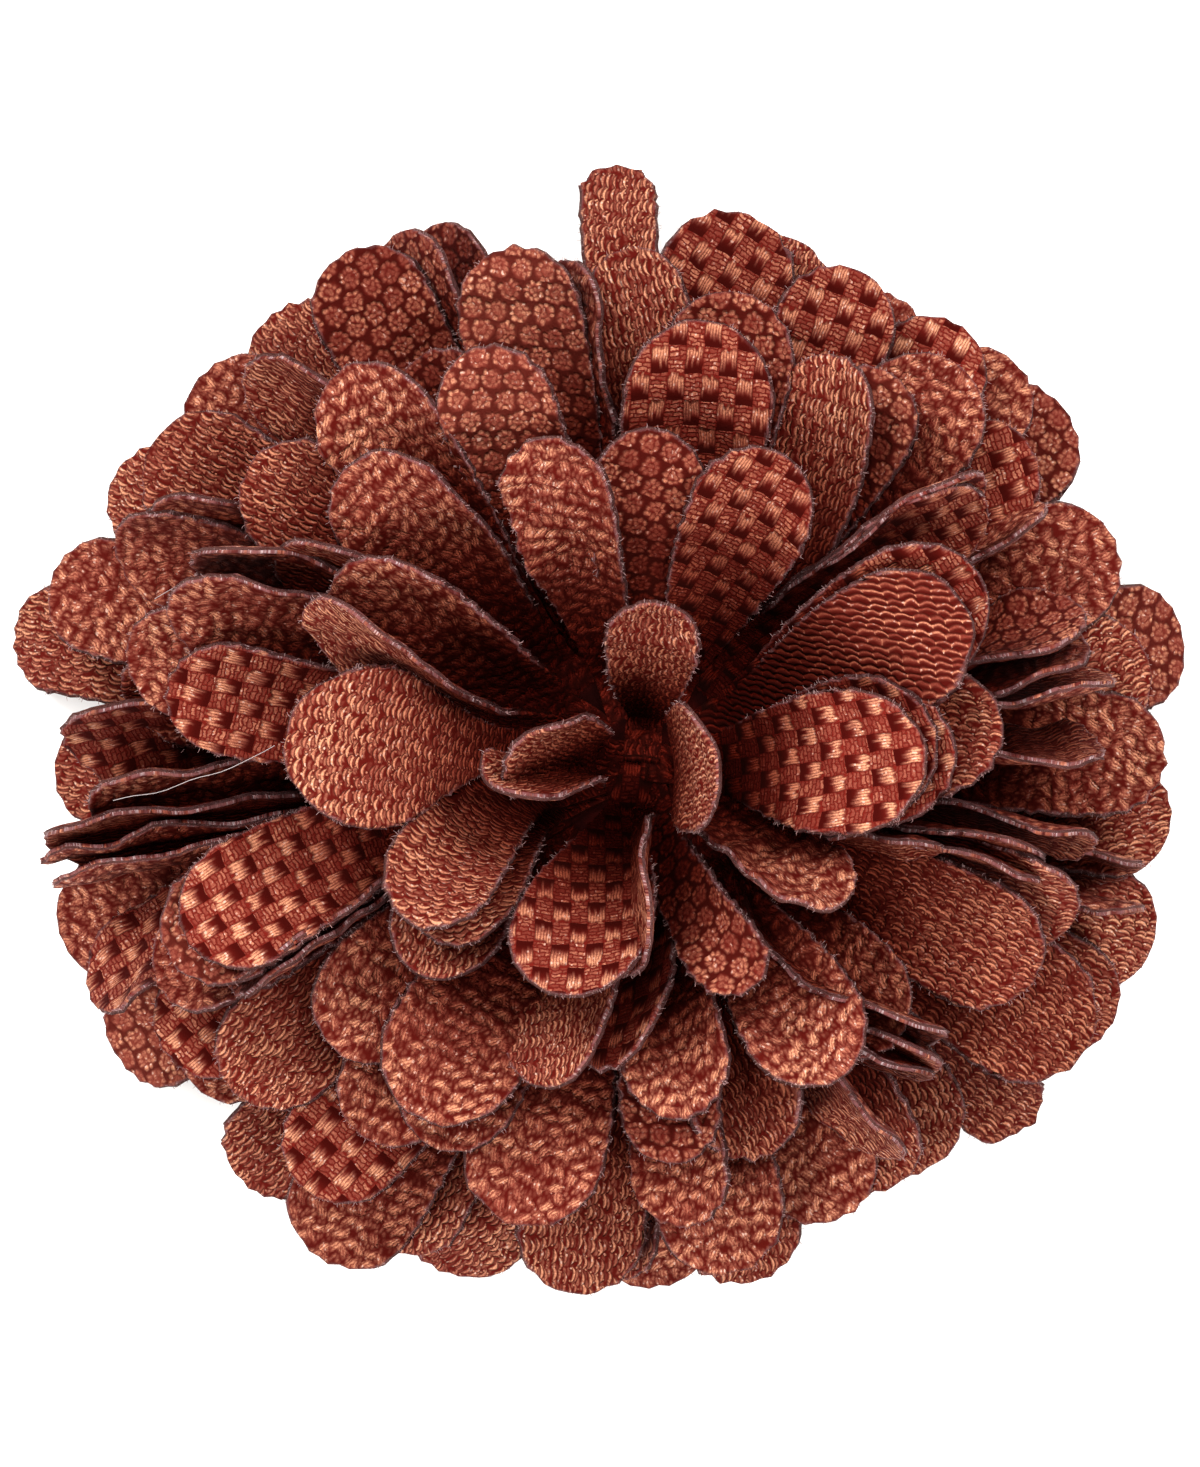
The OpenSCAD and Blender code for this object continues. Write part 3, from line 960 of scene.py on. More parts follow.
class CrescentWeave(WeavePattern):
    """Short curved floats with thin ends, scattered unevenly, and small dots between them."""

    wander_rate: float = 0.9
    wander_size: float = 0.1
    column: float = 0.25
    pitch: float = 0.58
    grain: float = 4.6
    uneven: float = 0.62
    curve: float = 1.9
    float_light: tuple[float, float] = (0.44, 1.0)
    dot_light: float = 0.74

    def draw(self, g: NodeGraph, x: Socket, y: Socket) -> Drawn:
        """Adds the curved floats and the dots in their gaps."""
        dx, dy, own = g.scatter(g.over(x, self.column), g.over(y, self.pitch), self.uneven)
        bent = g.times(dy, dy)
        across = g.size(g.plus(g.line(bent, self.curve, -0.1), dx))
        reach = g.over(g.size(dy), g.mix(own, 0.44, 0.62))
        width = g.line(g.times(reach, reach), 0.24, across)
        body = g.times(g.step(width, 0.43, 0.1), g.step(reach, 1.08, 0.7))
        off_x, off_y, other = g.scatter(g.times(x, self.grain), g.times(y, self.grain), 0.9)
        dot = g.times(g.step(g.length2(off_x, off_y), 0.34, 0.12), g.step(other, 0.35, 0.7))
        low_x, low_y, lone = g.scatter(g.line(x, 1.25 / self.column, 5.3),
                                       g.over(y, 0.7 * self.pitch), 0.85)
        below = g.size(g.line(g.times(low_y, low_y), 1.5, low_x))
        faint = g.times(g.step(g.size(low_y), 0.55, 0.3), g.mix(lone, 0.12, 0.5))
        below = g.times(g.step(below, 0.5, 0.1), faint)
        shown = g.most(g.times(body, g.mix(own, *self.float_light)), g.times(dot, self.dot_light))
        shown = g.most(shown, below)
        high = g.most(body, g.times(dot, 0.7))
        return Drawn(shown, high, g.mix(high, 0.5, 1.0))


class SeedWeave(WeavePattern):
    """Rosettes of two rings of soft dots, which almost touch over a thin dark scalloped gap."""

    wander_rate: float = 2.4
    wander_size: float = 0.1
    pitch_x: float = 0.95
    pitch_y: float = 0.84
    rings: tuple[tuple[float, int], ...] = ((0.11, 3), (0.32, 9))
    dot_edge: tuple[float, float] = (0.175, 0.04)
    dot_stray: float = 0.05
    middle: tuple[float, float] = (0.46, 0.54)
    bulge_edge: tuple[float, float] = (0.5, 0.3)
    base: tuple[float, float] = (0.05, 0.2)

    def ring(self, g: NodeGraph, away: Socket, turn: Socket, own: Socket, radius: float,
             count: int) -> Socket:
        """One ring of dots.

        Args:
            g: The material's graph.
            away: Distance from the rosette's middle, mm.
            turn: Direction from the middle, in turns.
            own: The rosette's own random number.
            radius: Radius of the ring, mm.
            count: How many dots it has.

        Returns:
            How bright the dots are.
        """
        place = g.line(turn, float(count), g.times(own, 9.0))
        lone = g.chance(g.math("FLOORED_MODULO", g.whole(place), float(count)), own)
        arc = g.times(g.minus(g.part(place), 0.5),
                     g.times(away, 2 * math.pi / count))
        off = g.minus(away, g.mix(lone, radius - self.dot_stray, radius + self.dot_stray))
        return g.times(g.step(g.length2(arc, off), *self.dot_edge), g.mix(lone, 0.5, 1.0))

    def draw(self, g: NodeGraph, x: Socket, y: Socket) -> Drawn:
        """Adds the rosettes and their dots, on a mid or a dark base from petal to petal."""
        line = g.over(y, self.pitch_y)
        band = g.whole(line)
        place = g.line(band, 0.5, g.over(x, self.pitch_x))
        own, other = g.chance(g.whole(place), band), g.chance(band, g.whole(place))
        across = g.times(g.minus(g.part(place), g.mix(own, *self.middle)), self.pitch_x)
        up = g.times(g.minus(g.part(line), g.mix(other, *self.middle)), self.pitch_y)
        away = g.length2(across, up)
        turn = g.over(g.math("ARCTAN2", up, across), 2 * math.pi)
        inner, outer = (self.ring(g, away, turn, own, *ring) for ring in self.rings)
        dots = g.most(g.times(inner, 0.8), outer)
        bulge = g.step(away, *self.bulge_edge)
        mid = g.mix(g.step(g.attribute("tone"), -0.8, 0.8), *self.base)
        base = g.times(g.mix(bulge, 0.3, 1.0), mid)
        return Drawn(g.most(base, g.times(dots, g.mix(other, 0.56, 0.9))),
                     g.line(dots, 0.6, g.times(bulge, 0.3)), g.mix(bulge, 0.15, 0.7))


class TwillWeave(WeavePattern):
    """Chains of thin bright arcs on a smooth dark ground, with a knot at each joint."""

    wander_rate: float = 1.4
    wander_size: float = 0.13
    column: float = 0.31
    dash: float = 0.62
    lean: float = 0.42
    arch: float = 0.34
    arch_foot: float = 0.3
    line_light: tuple[float, float] = (0.02, 0.62)

    def draw(self, g: NodeGraph, x: Socket, y: Socket) -> Drawn:
        """Adds the leaning chains."""
        cell = g.over(g.line(y, self.lean, x), self.column)
        col, fx = g.whole(cell), g.part(cell)
        along = g.plus(g.line(col, 0.5, g.over(y, self.dash)), g.chance(col, 2.0))
        row, fy = g.whole(along), g.part(along)
        arch = g.hump(fy)
        own, other = g.chance(col, row), g.chance(row, col)
        across = g.size(g.minus(fx, g.line(arch, self.arch, self.arch_foot)))
        thin = g.times(g.step(across, 0.2, 0.03), g.mix(own, *self.line_light))
        knot = g.times(g.step(g.plus(arch, across), 0.42, 0.12), g.mix(other, 0.2, 1.0))
        wide = g.step(across, 0.5, 0.1)
        shown = g.most(thin, knot)
        return Drawn(g.line(wide, 0.2, shown), wide, g.mix(wide, 0.3, 0.85))


class SprigWeave(WeavePattern):
    """Small slanted bundles of strands that lean to both sides and run into one another."""

    wander_rate: float = 1.3
    wander_size: float = 0.12
    pitch_x: float = 0.5
    pitch_y: float = 0.62
    strands: float = 3.4
    grain: float = 5.4
    uneven: float = 0.6
    rough_rate: float = 7.5
    rough_size: float = 0.5
    leans: tuple[float, float] = (-0.5, 0.75)
    bundle_light: tuple[float, float] = (0.56, 1.03)
    grain_light: tuple[float, float] = (0.1, 0.56)

    def draw(self, g: NodeGraph, x: Socket, y: Socket) -> Drawn:
        """Adds the bundles and the faint short dots between them."""
        dx, dy, own = g.scatter(g.over(x, self.pitch_x), g.over(y, self.pitch_y), self.uneven)
        rough = g.noise(g.pair(x, y), self.rough_rate, 1.0)
        rough = g.line(rough, self.rough_size, -self.rough_size / 2)
        side = g.plus(g.line(dy, g.mix(g.step(own, 0.3, 0.7), *self.leans), dx),
                      g.times(rough, 0.45))
        inside = g.step(g.plus(g.length2(side, dy), rough), 0.66, 0.16)
        line = g.line(side, self.strands, g.times(own, 7.0))
        ridge = g.hump(g.part(line))
        strand = g.chance(g.whole(line), own)
        ends = g.step(g.line(strand, 0.34, g.size(dy)), 0.8, 0.3)
        body = g.times(inside, ends)
        # Painted highlight: each strand is brighter along its ridge.
        bundle = g.times(g.times(body, g.mix(ridge, 0.45, 1.0)), g.mix(own, *self.bundle_light))
        off_x, off_y, other = g.scatter(g.times(x, self.grain),
                                        g.times(y, 0.6 * self.grain), 0.9)
        grains = g.step(g.length2(off_x, off_y), 0.6, 0.08)
        grains = g.times(grains, g.mix(other, *self.grain_light))
        high = g.most(g.times(body, g.mix(ridge, 0.7, 1.0)), g.times(grains, 0.5))
        return Drawn(g.most(bundle, grains), high, g.mix(body, 0.35, 1.0))


PATTERNS: dict[Weave, WeavePattern] = {
    Weave.BASKET: BasketWeave(),
    Weave.CRESCENT: CrescentWeave(),
    Weave.SEED: SeedWeave(),
    Weave.TWILL: TwillWeave(),
    Weave.SPRIG: SprigWeave(),
}


@dataclass(frozen=True)
class SatinCloth:
    """The jacquard petal cloth: copper floats on a dark red ground with a fused, greyed edge."""

    weave: Weave
    colours: ClothColours = ClothColours()
    stand: float = 0.11
    fused_w: float = 0.03
    # Painted shade: the petal colour is multiplied towards this tint deep among the petals and
    # towards each petal's root.
    shade: Colour = (0.40, 0.155, 0.13)
    root_shade: tuple[float, float] = (0.06, 1.0)
    open_air_shade: tuple[float, float] = (0.02, 0.79)
    fine_rate: float = 11.0
    broad_rate: float = 0.42
    patch_rate: float = 2.4
    glint_cell_rate: tuple[float, float] = (15.0, 11.0)
    glint_cell_rare: tuple[float, float] = (0.93, 0.97)
    glint_share: float = 0.45
    tone_step: float = 0.11
    tone_usual: float = 0.95
    shade_gamma: float = 2.0
    fused_share: float = 0.85
    grain: float = 0.16
    rough_ground: float = 0.85
    rough_float: float = 0.45
    rough_fused: float = 0.55

    def material(self, name: str) -> bpy.types.Material:
        """Makes the material.

        Args:
            name: Its name.

        Returns:
            The material.
        """
        g, tints, pattern = NodeGraph(name), self.colours, PATTERNS[self.weave]
        cloth = g.node("ShaderNodeUVMap", uv_map=CLOTH_MAP).outputs[0]
        split = g.node("ShaderNodeSeparateXYZ")
        g.feed(split.inputs[0], cloth)
        moved_x, moved_y = g.wander(cloth, pattern.wander_rate, pattern.wander_size)
        x = g.plus(split.outputs[0], moved_x)
        y = g.plus(split.outputs[1], moved_y)
        drawn = pattern.draw(g, x, y)
        fine = g.noise(cloth, self.fine_rate, 2.0, 0.7)
        broad = g.noise(cloth, self.broad_rate, 1.0)
        tone, along, edge = g.attribute("tone"), g.attribute("along"), g.attribute("edge")
        amount = g.times(drawn.copper, g.mix(g.step(fine, 0.3, 0.7), 0.62, 1.12))
        amount = g.times(amount, g.mix(broad, 0.75, 1.2), clamp=True)
        # Painted shade: the weave's hollows darken from the ground colour to the pit colour.
        low = g.blend(drawn.depth, tints.pit, tints.ground)
        high = g.blend(g.step(g.line(broad, 0.5, amount), 0.3, 1.2), tints.rose, tints.copper)
        colour = g.blend(amount, low, high)
        # Painted highlight: rare bright specks on the copper floats stand for glints.
        glint_cell = g.chance(g.whole(g.times(x, self.glint_cell_rate[0])),
                         g.whole(g.times(y, self.glint_cell_rate[1])))
        glint = g.times(g.step(glint_cell, *self.glint_cell_rare), g.step(drawn.copper, 0.2, 0.6))
        colour = g.blend(g.times(glint, self.glint_share), colour, tints.glint)
        # Painted shade from how open the cloth lies and from its share along the petal, scaled by
        # each petal's tone.
        lit = g.times(g.step(g.attribute("open_air"), *self.open_air_shade),
                      g.step(along, *self.root_shade))
        lit = g.times(lit, g.line(tone, self.tone_step, self.tone_usual), clamp=True)
        dimmed = g.node("ShaderNodeGamma")
        dimmed.inputs["Gamma"].default_value = self.shade_gamma
        g.feed(dimmed.inputs["Color"], g.blend(lit, self.shade, (1.0, 1.0, 1.0)))
        colour = g.blend(1.0, colour, dimmed.outputs[0], "MULTIPLY")
        ragged = g.line(fine, self.grain, edge)
        patchy = g.step(g.noise(cloth, self.patch_rate, 1.0), 0.36, 0.6)
        fused = g.times(g.step(ragged, self.fused_w + 0.15, self.fused_w + 0.02),
                       g.times(g.step(along, 0.2, 0.5), g.mix(patchy, 0.15, 1.0)))
        # Pale beads on the fused edge, partly real fused yarn and partly painted glint.
        beads_and_glints = g.step(g.line(glint_cell, 0.22, fine), 0.66, 0.84)
        rim = g.blend(g.times(beads_and_glints, 0.7), tints.fused, tints.bead_and_glint)
        colour = g.blend(g.times(fused, self.fused_share), colour, rim)
        rough = g.mix(fused, g.mix(amount, self.rough_ground, self.rough_float), self.rough_fused)
        lifted = g.line(fine, self.grain, drawn.height)
        height = g.mix(fused, lifted, g.times(fine, 0.8))
        return g.finish(
            {"IOR": 1.45, "Specular IOR Level": 0.1, "Specular Tint": (1.0, 0.42, 0.3)},
            {"Base Color": colour, "Roughness": rough, "Normal": g.bump(height, self.stand * MM)})


@dataclass(frozen=True)
class PressedCloth:
    """The gathered and pressed roots of the petals; their near-black colour is painted shade deep
    in the flower's heart.
    """

    # Painted shade: near black for the shade deep in the heart.
    colour: Colour = (0.006, 0.0006, 0.0005)
    pale: Colour = (0.018, 0.0014, 0.0010)
    pile_rate: float = 4200.0
    weave_rate: float = 900.0
    stand: float = 0.06

    def material(self, name: str) -> bpy.types.Material:
        """Makes the material."""
        g = NodeGraph(name)
        place = g.own_place()
        pile = g.noise(place, self.pile_rate, 4.0, 0.65, solid=True)
        weave = g.noise(place, self.weave_rate, 2.0, 0.5, solid=True)
        colour = g.blend(g.step(weave, 0.4, 0.7), self.colour, self.pale)
        return g.finish({"Roughness": 1.0, "Specular IOR Level": 0.02},
                        {"Base Color": colour, "Normal": g.bump(pile, self.stand * MM)})


@dataclass(frozen=True)
class MattFelt:
    """Pressed felt: short crossing fibres in two close tones."""

    colour: Colour = (0.016, 0.014, 0.014)
    pale: Colour = (0.05, 0.045, 0.045)
    lie: Triple = (1.0, 3.2, 1.6)
    lie_turn: Triple = (0.2, 0.1, 0.7)
    fibre_rate: float = 2600.0
    cloud_rate: float = 420.0
    stand: float = 0.12

    def material(self, name: str) -> bpy.types.Material:
        """Makes the material."""
        g = NodeGraph(name)
        place = g.own_place()
        stretched = g.stretch(place, self.lie, self.lie_turn)
        fibres = g.noise(stretched, self.fibre_rate, 5.0, 0.7, solid=True)
        cloud = g.noise(place, self.cloud_rate, 2.0, 0.5, solid=True)
        colour = g.blend(g.step(g.line(cloud, 0.3, fibres), 0.45, 0.95), self.colour, self.pale)
        return g.finish({"Roughness": 0.95, "Sheen Weight": 0.35, "Sheen Roughness": 0.6},
                        {"Base Color": colour, "Normal": g.bump(fibres, self.stand * MM)})


@dataclass(frozen=True)
class BrightSteel:
    """Plain drawn or turned steel with fine marks along one way."""

    colour: Colour = (0.62, 0.62, 0.63)
    marks: Triple = (1.0, 18.0, 18.0)
    rough: float = 0.26
    rough_more: float = 0.14
    line_rate: float = 260.0
    cloud_rate: float = 300.0
    darker: float = 0.8
    stand: float = 0.006

    def material(self, name: str) -> bpy.types.Material:
        """Makes the material."""
        g = NodeGraph(name)
        place = g.own_place()
        lines = g.noise(g.stretch(place, self.marks), self.line_rate, 3.0, 0.6, solid=True)
        cloud = g.noise(place, self.cloud_rate, 2.0, 0.5, solid=True)
        rough = g.line(lines, self.rough_more, self.rough)
        darker = tuple(self.darker * v for v in self.colour)
        return g.finish({"Metallic": 1.0},
                        {"Base Color": g.blend(cloud, self.colour, darker), "Roughness": rough,
                         "Normal": g.bump(lines, self.stand * MM)})


@dataclass(frozen=True)
class Thread:
    """Thin spun thread or lint of one colour."""

    colour: Colour
    rough: float = 0.6
    spun_rate: float = 5200.0
    darker: float = 0.6
    stand: float = 0.02

    def material(self, name: str) -> bpy.types.Material:
        """Makes the material."""
        g = NodeGraph(name)
        place = g.own_place()
        spun = g.noise(place, self.spun_rate, 3.0, 0.6, solid=True)
        darker = tuple(self.darker * v for v in self.colour)
        return g.finish({"Roughness": self.rough, "Sheen Weight": 0.2},
                        {"Base Color": g.blend(spun, darker, self.colour),
                         "Normal": g.bump(spun, self.stand * MM)})


def spin(profile: list[tuple[float, float]], sides: int, centre: Array) -> tuple[Array, Ids]:
    """Turns a profile about a vertical line.

    Args:
        profile: Radius and height of each point, mm.
        sides: How many steps make the turn.
        centre: Foot of the line, mm.

    Returns:
        The points and the quads between them.
    """
    turn = np.linspace(0, 2 * np.pi, sides, endpoint=False)
    rings = [np.stack([r * np.cos(turn), r * np.sin(turn), np.full(sides, z)], 1)
             for r, z in profile]
    return np.vstack(rings) + centre, ring_quads(len(profile), sides)


def shell(skin: Skin, points: Array, quads: Ids, slot: int = 0) -> None:
    """Adds a plain closed form to a piece, with no cloth values.

    Args:
        skin: The piece.
        points: Its points, mm.
        quads: Its faces.
        slot: Its material number.
    """
    none = np.zeros(len(points))
    skin.add(points, quads, points[:, :2].copy(), none + 1, none + 1, none + 1, 0.0,
             np.full(len(quads), slot))


def tube(line: Array, radii: Array, sides: int) -> tuple[Array, Ids]:
    """A round tube along a line, closed to a small cap at both ends.

    Args:
        line: Points that it follows, mm.
        radii: Radius at each point, mm.
        sides: How many sides it has.

    Returns:
        The points and quads.
    """
    ahead = unit(np.gradient(line, axis=0))
    one, two = beside(ahead)
    turn = np.linspace(0, 2 * np.pi, sides, endpoint=False)
    around = (one[:, None, :] * np.cos(turn)[None, :, None]
              + two[:, None, :] * np.sin(turn)[None, :, None])
    points = line[:, None, :] + radii[:, None, None] * around
    return points.reshape(-1, 3), np.roll(ring_quads(len(line), sides)[:, ::-1], 1, 1)


@dataclass
class PetalRing:
    """One ring of petals as one piece of cloth work, in place of its CAD node."""

    name: str
    node: str
    slot: str
    ring: RingSizes
    petals: list[Petal]
    seed: int
    sizes: FlowerSizes = field(default_factory=FlowerSizes)
    cloth: ClothSizes = field(default_factory=ClothSizes)
    seed_step: int = 1000
    strip_w: float = 0.016
    waste: float = 1.25

    def __post_init__(self) -> None:
        """Works out the shape of every petal."""
        self.forms = [PetalForm(petal, self.ring, self.sizes, self.cloth,
                                np.random.default_rng(self.seed * self.seed_step + number))
                      for number, petal in enumerate(self.petals)]
        for form in self.forms:
            form.shape()

    def build(self, cloths: dict[Weave, bpy.types.Material], air: OpenAir) -> bpy.types.Object:
        """Makes the piece, puts it on its body and hides its CAD node.

        Args:
            cloths: The petal cloth's material for each weave.
            air: Measures how open the cloth lies.

        Returns:
            The piece.
        """
        kinds = list(Weave)
        skin = Skin()
        for form in self.forms:
            coarse = form.petal.weave in (Weave.BASKET, Weave.SPRIG)
            under = Weave.CRESCENT if coarse else Weave.SPRIG
            form.add_to(skin, kinds.index(form.petal.weave), kinds.index(under), air)
        area = sum(form.flat_area() for form in self.forms)
        piece = skin.to_object(self.name, [cloths[k] for k in kinds])
        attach(piece, "root")
        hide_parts(self.node)
        open_air = np.concatenate(skin.values["open_air"])
        spread = np.percentile(open_air, (5, 25, 50, 75, 95)).round(2)
        LOG.info("%s: %d petals, %.0f mm2 of cloth, %d points, open air %s", self.name,
                 len(self.petals), area, skin.count, spread)
        return piece


@dataclass
class FrayedEdges:
    """Short yarn ends that stand out from the cut edges of the petals."""

    rings: list[PetalRing]
    pitch: float = 0.22
    shortest: float = 0.05
    longest: float = 0.24
    radius: float = 0.012
    free: float = 0.3
    spread: float = 0.45
    tucked: float = 0.03
    short_bias: float = 2.2
    taper: Triple = (1.0, 0.9, 0.4)
    sides: int = 3
    seed: int = 31

    def ends(self, form: PetalForm, rng: np.random.Generator) -> Array:
        """The yarn ends of one petal.

        Args:
            form: The petal.
            rng: Source of the seeded random values.

        Returns:
            Three points for each yarn end, mm.
        """
        edge, normal, far = rim_of(form.centre), rim_of(form.normal), rim_of(form.far)
        out = unit(np.cross(np.gradient(edge, axis=0), normal))
        out *= np.sign(((edge - form.centre.reshape(-1, 3).mean(0)) * out).sum(-1, keepdims=True))
        run = run_along(edge)
        at = np.sort(rng.uniform(0, run[-1], int(run[-1] / self.pitch)))
        at = at[np.interp(at, run, far) > self.free]
        start, away = (np.stack([np.interp(at, run, a[:, k]) for k in range(3)], 1)
                       for a in (edge, out))
        first = unit(away + rng.normal(0, self.spread, away.shape))
        second = unit(first + rng.normal(0, self.spread, away.shape))
        share = rng.uniform(0, 1, (len(at), 1)) ** self.short_bias
        half = (self.shortest + (self.longest - self.shortest) * share) / 2
        return np.stack([start - away * self.tucked, start + first * half,
                         start + (first + second) * half], 1)

    def build(self, finish: Thread) -> bpy.types.Object:
        """Makes all yarn ends as one piece.

        Args:
            finish: Their finish.

        Returns:
            The piece.
        """
        rng = np.random.default_rng(self.seed)
        lines = np.concatenate([self.ends(form, rng) for ring in self.rings for form in ring.forms])
        ahead = unit(lines[:, 2] - lines[:, 0])
        askew = np.array([0.31, 0.52, 0.79])
        one = unit(np.cross(ahead, askew))
        two = np.cross(ahead, one)
        turn = np.arange(self.sides) * 2 * math.pi / self.sides
        around = (one[:, None] * np.cos(turn)[None, :, None]
                  + two[:, None] * np.sin(turn)[None, :, None])
        radii = self.radius * np.array(self.taper)
        points = lines[:, :, None] + around[:, None] * radii[None, :, None, None]
        step = len(self.taper) * self.sides
        quads = (ring_quads(len(self.taper), self.sides)[None]
                 + step * np.arange(len(lines))[:, None, None]).reshape(-1, 4)
        skin = Skin()
        shell(skin, points.reshape(-1, 3), quads)
        piece = skin.to_object("frayed_edges", [finish.material("frayed_yarn")])
        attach(piece, "root")
        LOG.info("frayed_edges: %d yarn ends", len(lines))
        return piece


@dataclass
class GatheredRoots:
    """The pleated, stitched pads that hold the petals' roots, one for each ring."""

    rings: list[RingSizes]
    sizes: FlowerSizes = field(default_factory=FlowerSizes)
    pleats: int = 46
    pleat: float = 0.09
    pleat_from: float = 0.25
    pleat_rise: float = 0.5
    pleat_steps: int = 4
    inset: float = 0.1
    lower: float = 0.35
    hole: float = 0.05
    rim: float = 0.18
    bulge: float = 0.03
    flank: float = 0.6

    def build(self, finish: PressedCloth) -> bpy.types.Object:
        """Makes the pads as one piece.

        Args:
            finish: Their finish.

        Returns:
            The piece.
        """
        z = self.sizes
        skin = Skin()
        half = z.half_pad - self.lower
        sides = self.pleats * self.pleat_steps
        for ring in self.rings:
            r = ring.radius - self.inset
            lower = [(self.hole, -half), (r * 0.5, -half), (r - self.rim, -half),
                     (r, -half * self.flank)]
            upper = [(far, -low) for far, low in reversed(lower)]
            profile = lower + [(r + self.bulge, 0.0)] + upper
            level = z.root_z + ring.level * z.root_pitch - self.lower
            centre = np.array([z.heart_x, z.heart_y, level])
            points, quads = spin(profile, sides, centre)
            flat = points - centre
            turn = np.arctan2(flat[:, 1], flat[:, 0])
            out = np.hypot(flat[:, 0], flat[:, 1])
            ripple = self.pleat * np.cos(self.pleats * turn) * smooth(out, self.pleat_from * r, r)
            points[:, :2] += unit(flat[:, :2]) * -np.abs(ripple)[:, None]
            points[:, 2] -= np.sign(flat[:, 2]) * np.abs(ripple) * self.pleat_rise
            shell(skin, points, quads)
        piece = skin.to_object("gathered_roots", [finish.material("pressed_root_cloth")])
        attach(piece, "root")
        LOG.info("gathered_roots: %d pads", len(self.rings))
        return piece


@dataclass
class FeltBacking:
    """The felt disc under the petals, with a soft rim."""

    sizes: FlowerSizes = field(default_factory=FlowerSizes)
    radius: float = 7.0
    thick: float = 1.2
    edge: float = 0.3
    edge_steps: int = 5
    flat_steps: int = 14
    sides: int = 120
    hole: float = 0.05
    nap: float = 0.05
    nap_even: float = 2.5
    seed: int = 77

    def build(self, finish: MattFelt) -> bpy.types.Object:
        """Makes the disc in place of its CAD node.

        Args:
            finish: Its finish.

        Returns:
            The piece.
        """
        z = self.sizes
        top = z.root_z - z.half_pad - z.stack_gap
        low, r, e = top - self.thick, self.radius, self.edge
        bend = [(r - e + e * math.sin(t), e - e * math.cos(t))
                for t in np.linspace(0, math.pi / 2, self.edge_steps)]
        flat = [(x, 0.0) for x in np.linspace(self.hole, r - e, self.flat_steps)]
        lower = [(x, low + y) for x, y in flat + bend[1:]]
        upper = [(x, top - y) for x, y in reversed(flat + bend[1:])]
        points, quads = spin(lower + upper, self.sides, np.array([z.heart_x, z.heart_y, 0.0]))
        rng = np.random.default_rng(self.seed)
        skin = Skin()
        points += rng.normal(0, self.nap / self.nap_even, points.shape).clip(-self.nap, self.nap)
        shell(skin, points, quads)
        piece = skin.to_object("felt_disc", [finish.material("matt_felt")])
        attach(piece, "root")
        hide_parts("felt_backing")
        LOG.info("felt_disc: radius %.1f mm", self.radius)
        return piece


@dataclass
class SteelPin:
    """The steel plate with its straight pointed wire."""

    def build(self, frame: dict, finish: BrightSteel) -> None:
        """Dresses the CAD node, whose shape is right as it is.

        Args:
            finish: Its finish.
        """
        mesh = frame["nodes"]["pin"].data
        mesh.materials.clear()
        mesh.materials.append(finish.material("bright_steel"))
        LOG.info("pin: CAD node with its own steel")


@dataclass
class StrayFibres:
    """A few pale loose fibres caught on the petals, as the picture shows."""

    runs: tuple = (
        ((-19.0, -2.6, 11.2), (-15.7, -2.1, 13.4), (-12.6, -0.5, 15.4)),
        ((-17.3, 5.3, 11.0), (-15.3, 6.4, 12.6), (-12.4, 6.6, 14.2)),
        ((15.0, -0.6, 13.3), (17.2, -1.3, 12.4), (19.0, -1.0, 10.6)),
    )
    radius: float = 0.014
    steps: int = 16
    sides: int = 5
    kink_pitch: float = 0.4
    kink: float = 0.06
    seed: int = 5

    def build(self, finish: Thread) -> bpy.types.Object:
        """Makes the fibres as one piece.

        Args:
            finish: Their finish.

        Returns:
            The piece.
        """
        skin = Skin()
        t = np.linspace(0, 1, self.steps)[:, None]
        rng = np.random.default_rng(self.seed)
        for a, m, b in self.runs:
            line = bowed(t, np.array(a), np.array(m), np.array(b))
            line += np.stack([Ripple(rng, self.kink_pitch, self.kink).at(t[:, 0])
                              for _ in range(3)], 1)
            points, quads = tube(line, np.full(len(line), self.radius), self.sides)
            shell(skin, points, quads)
        piece = skin.to_object("stray_fibres", [finish.material("pale_lint")])
        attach(piece, "root")
        LOG.info("stray_fibres: %d", len(self.runs))
        return piece


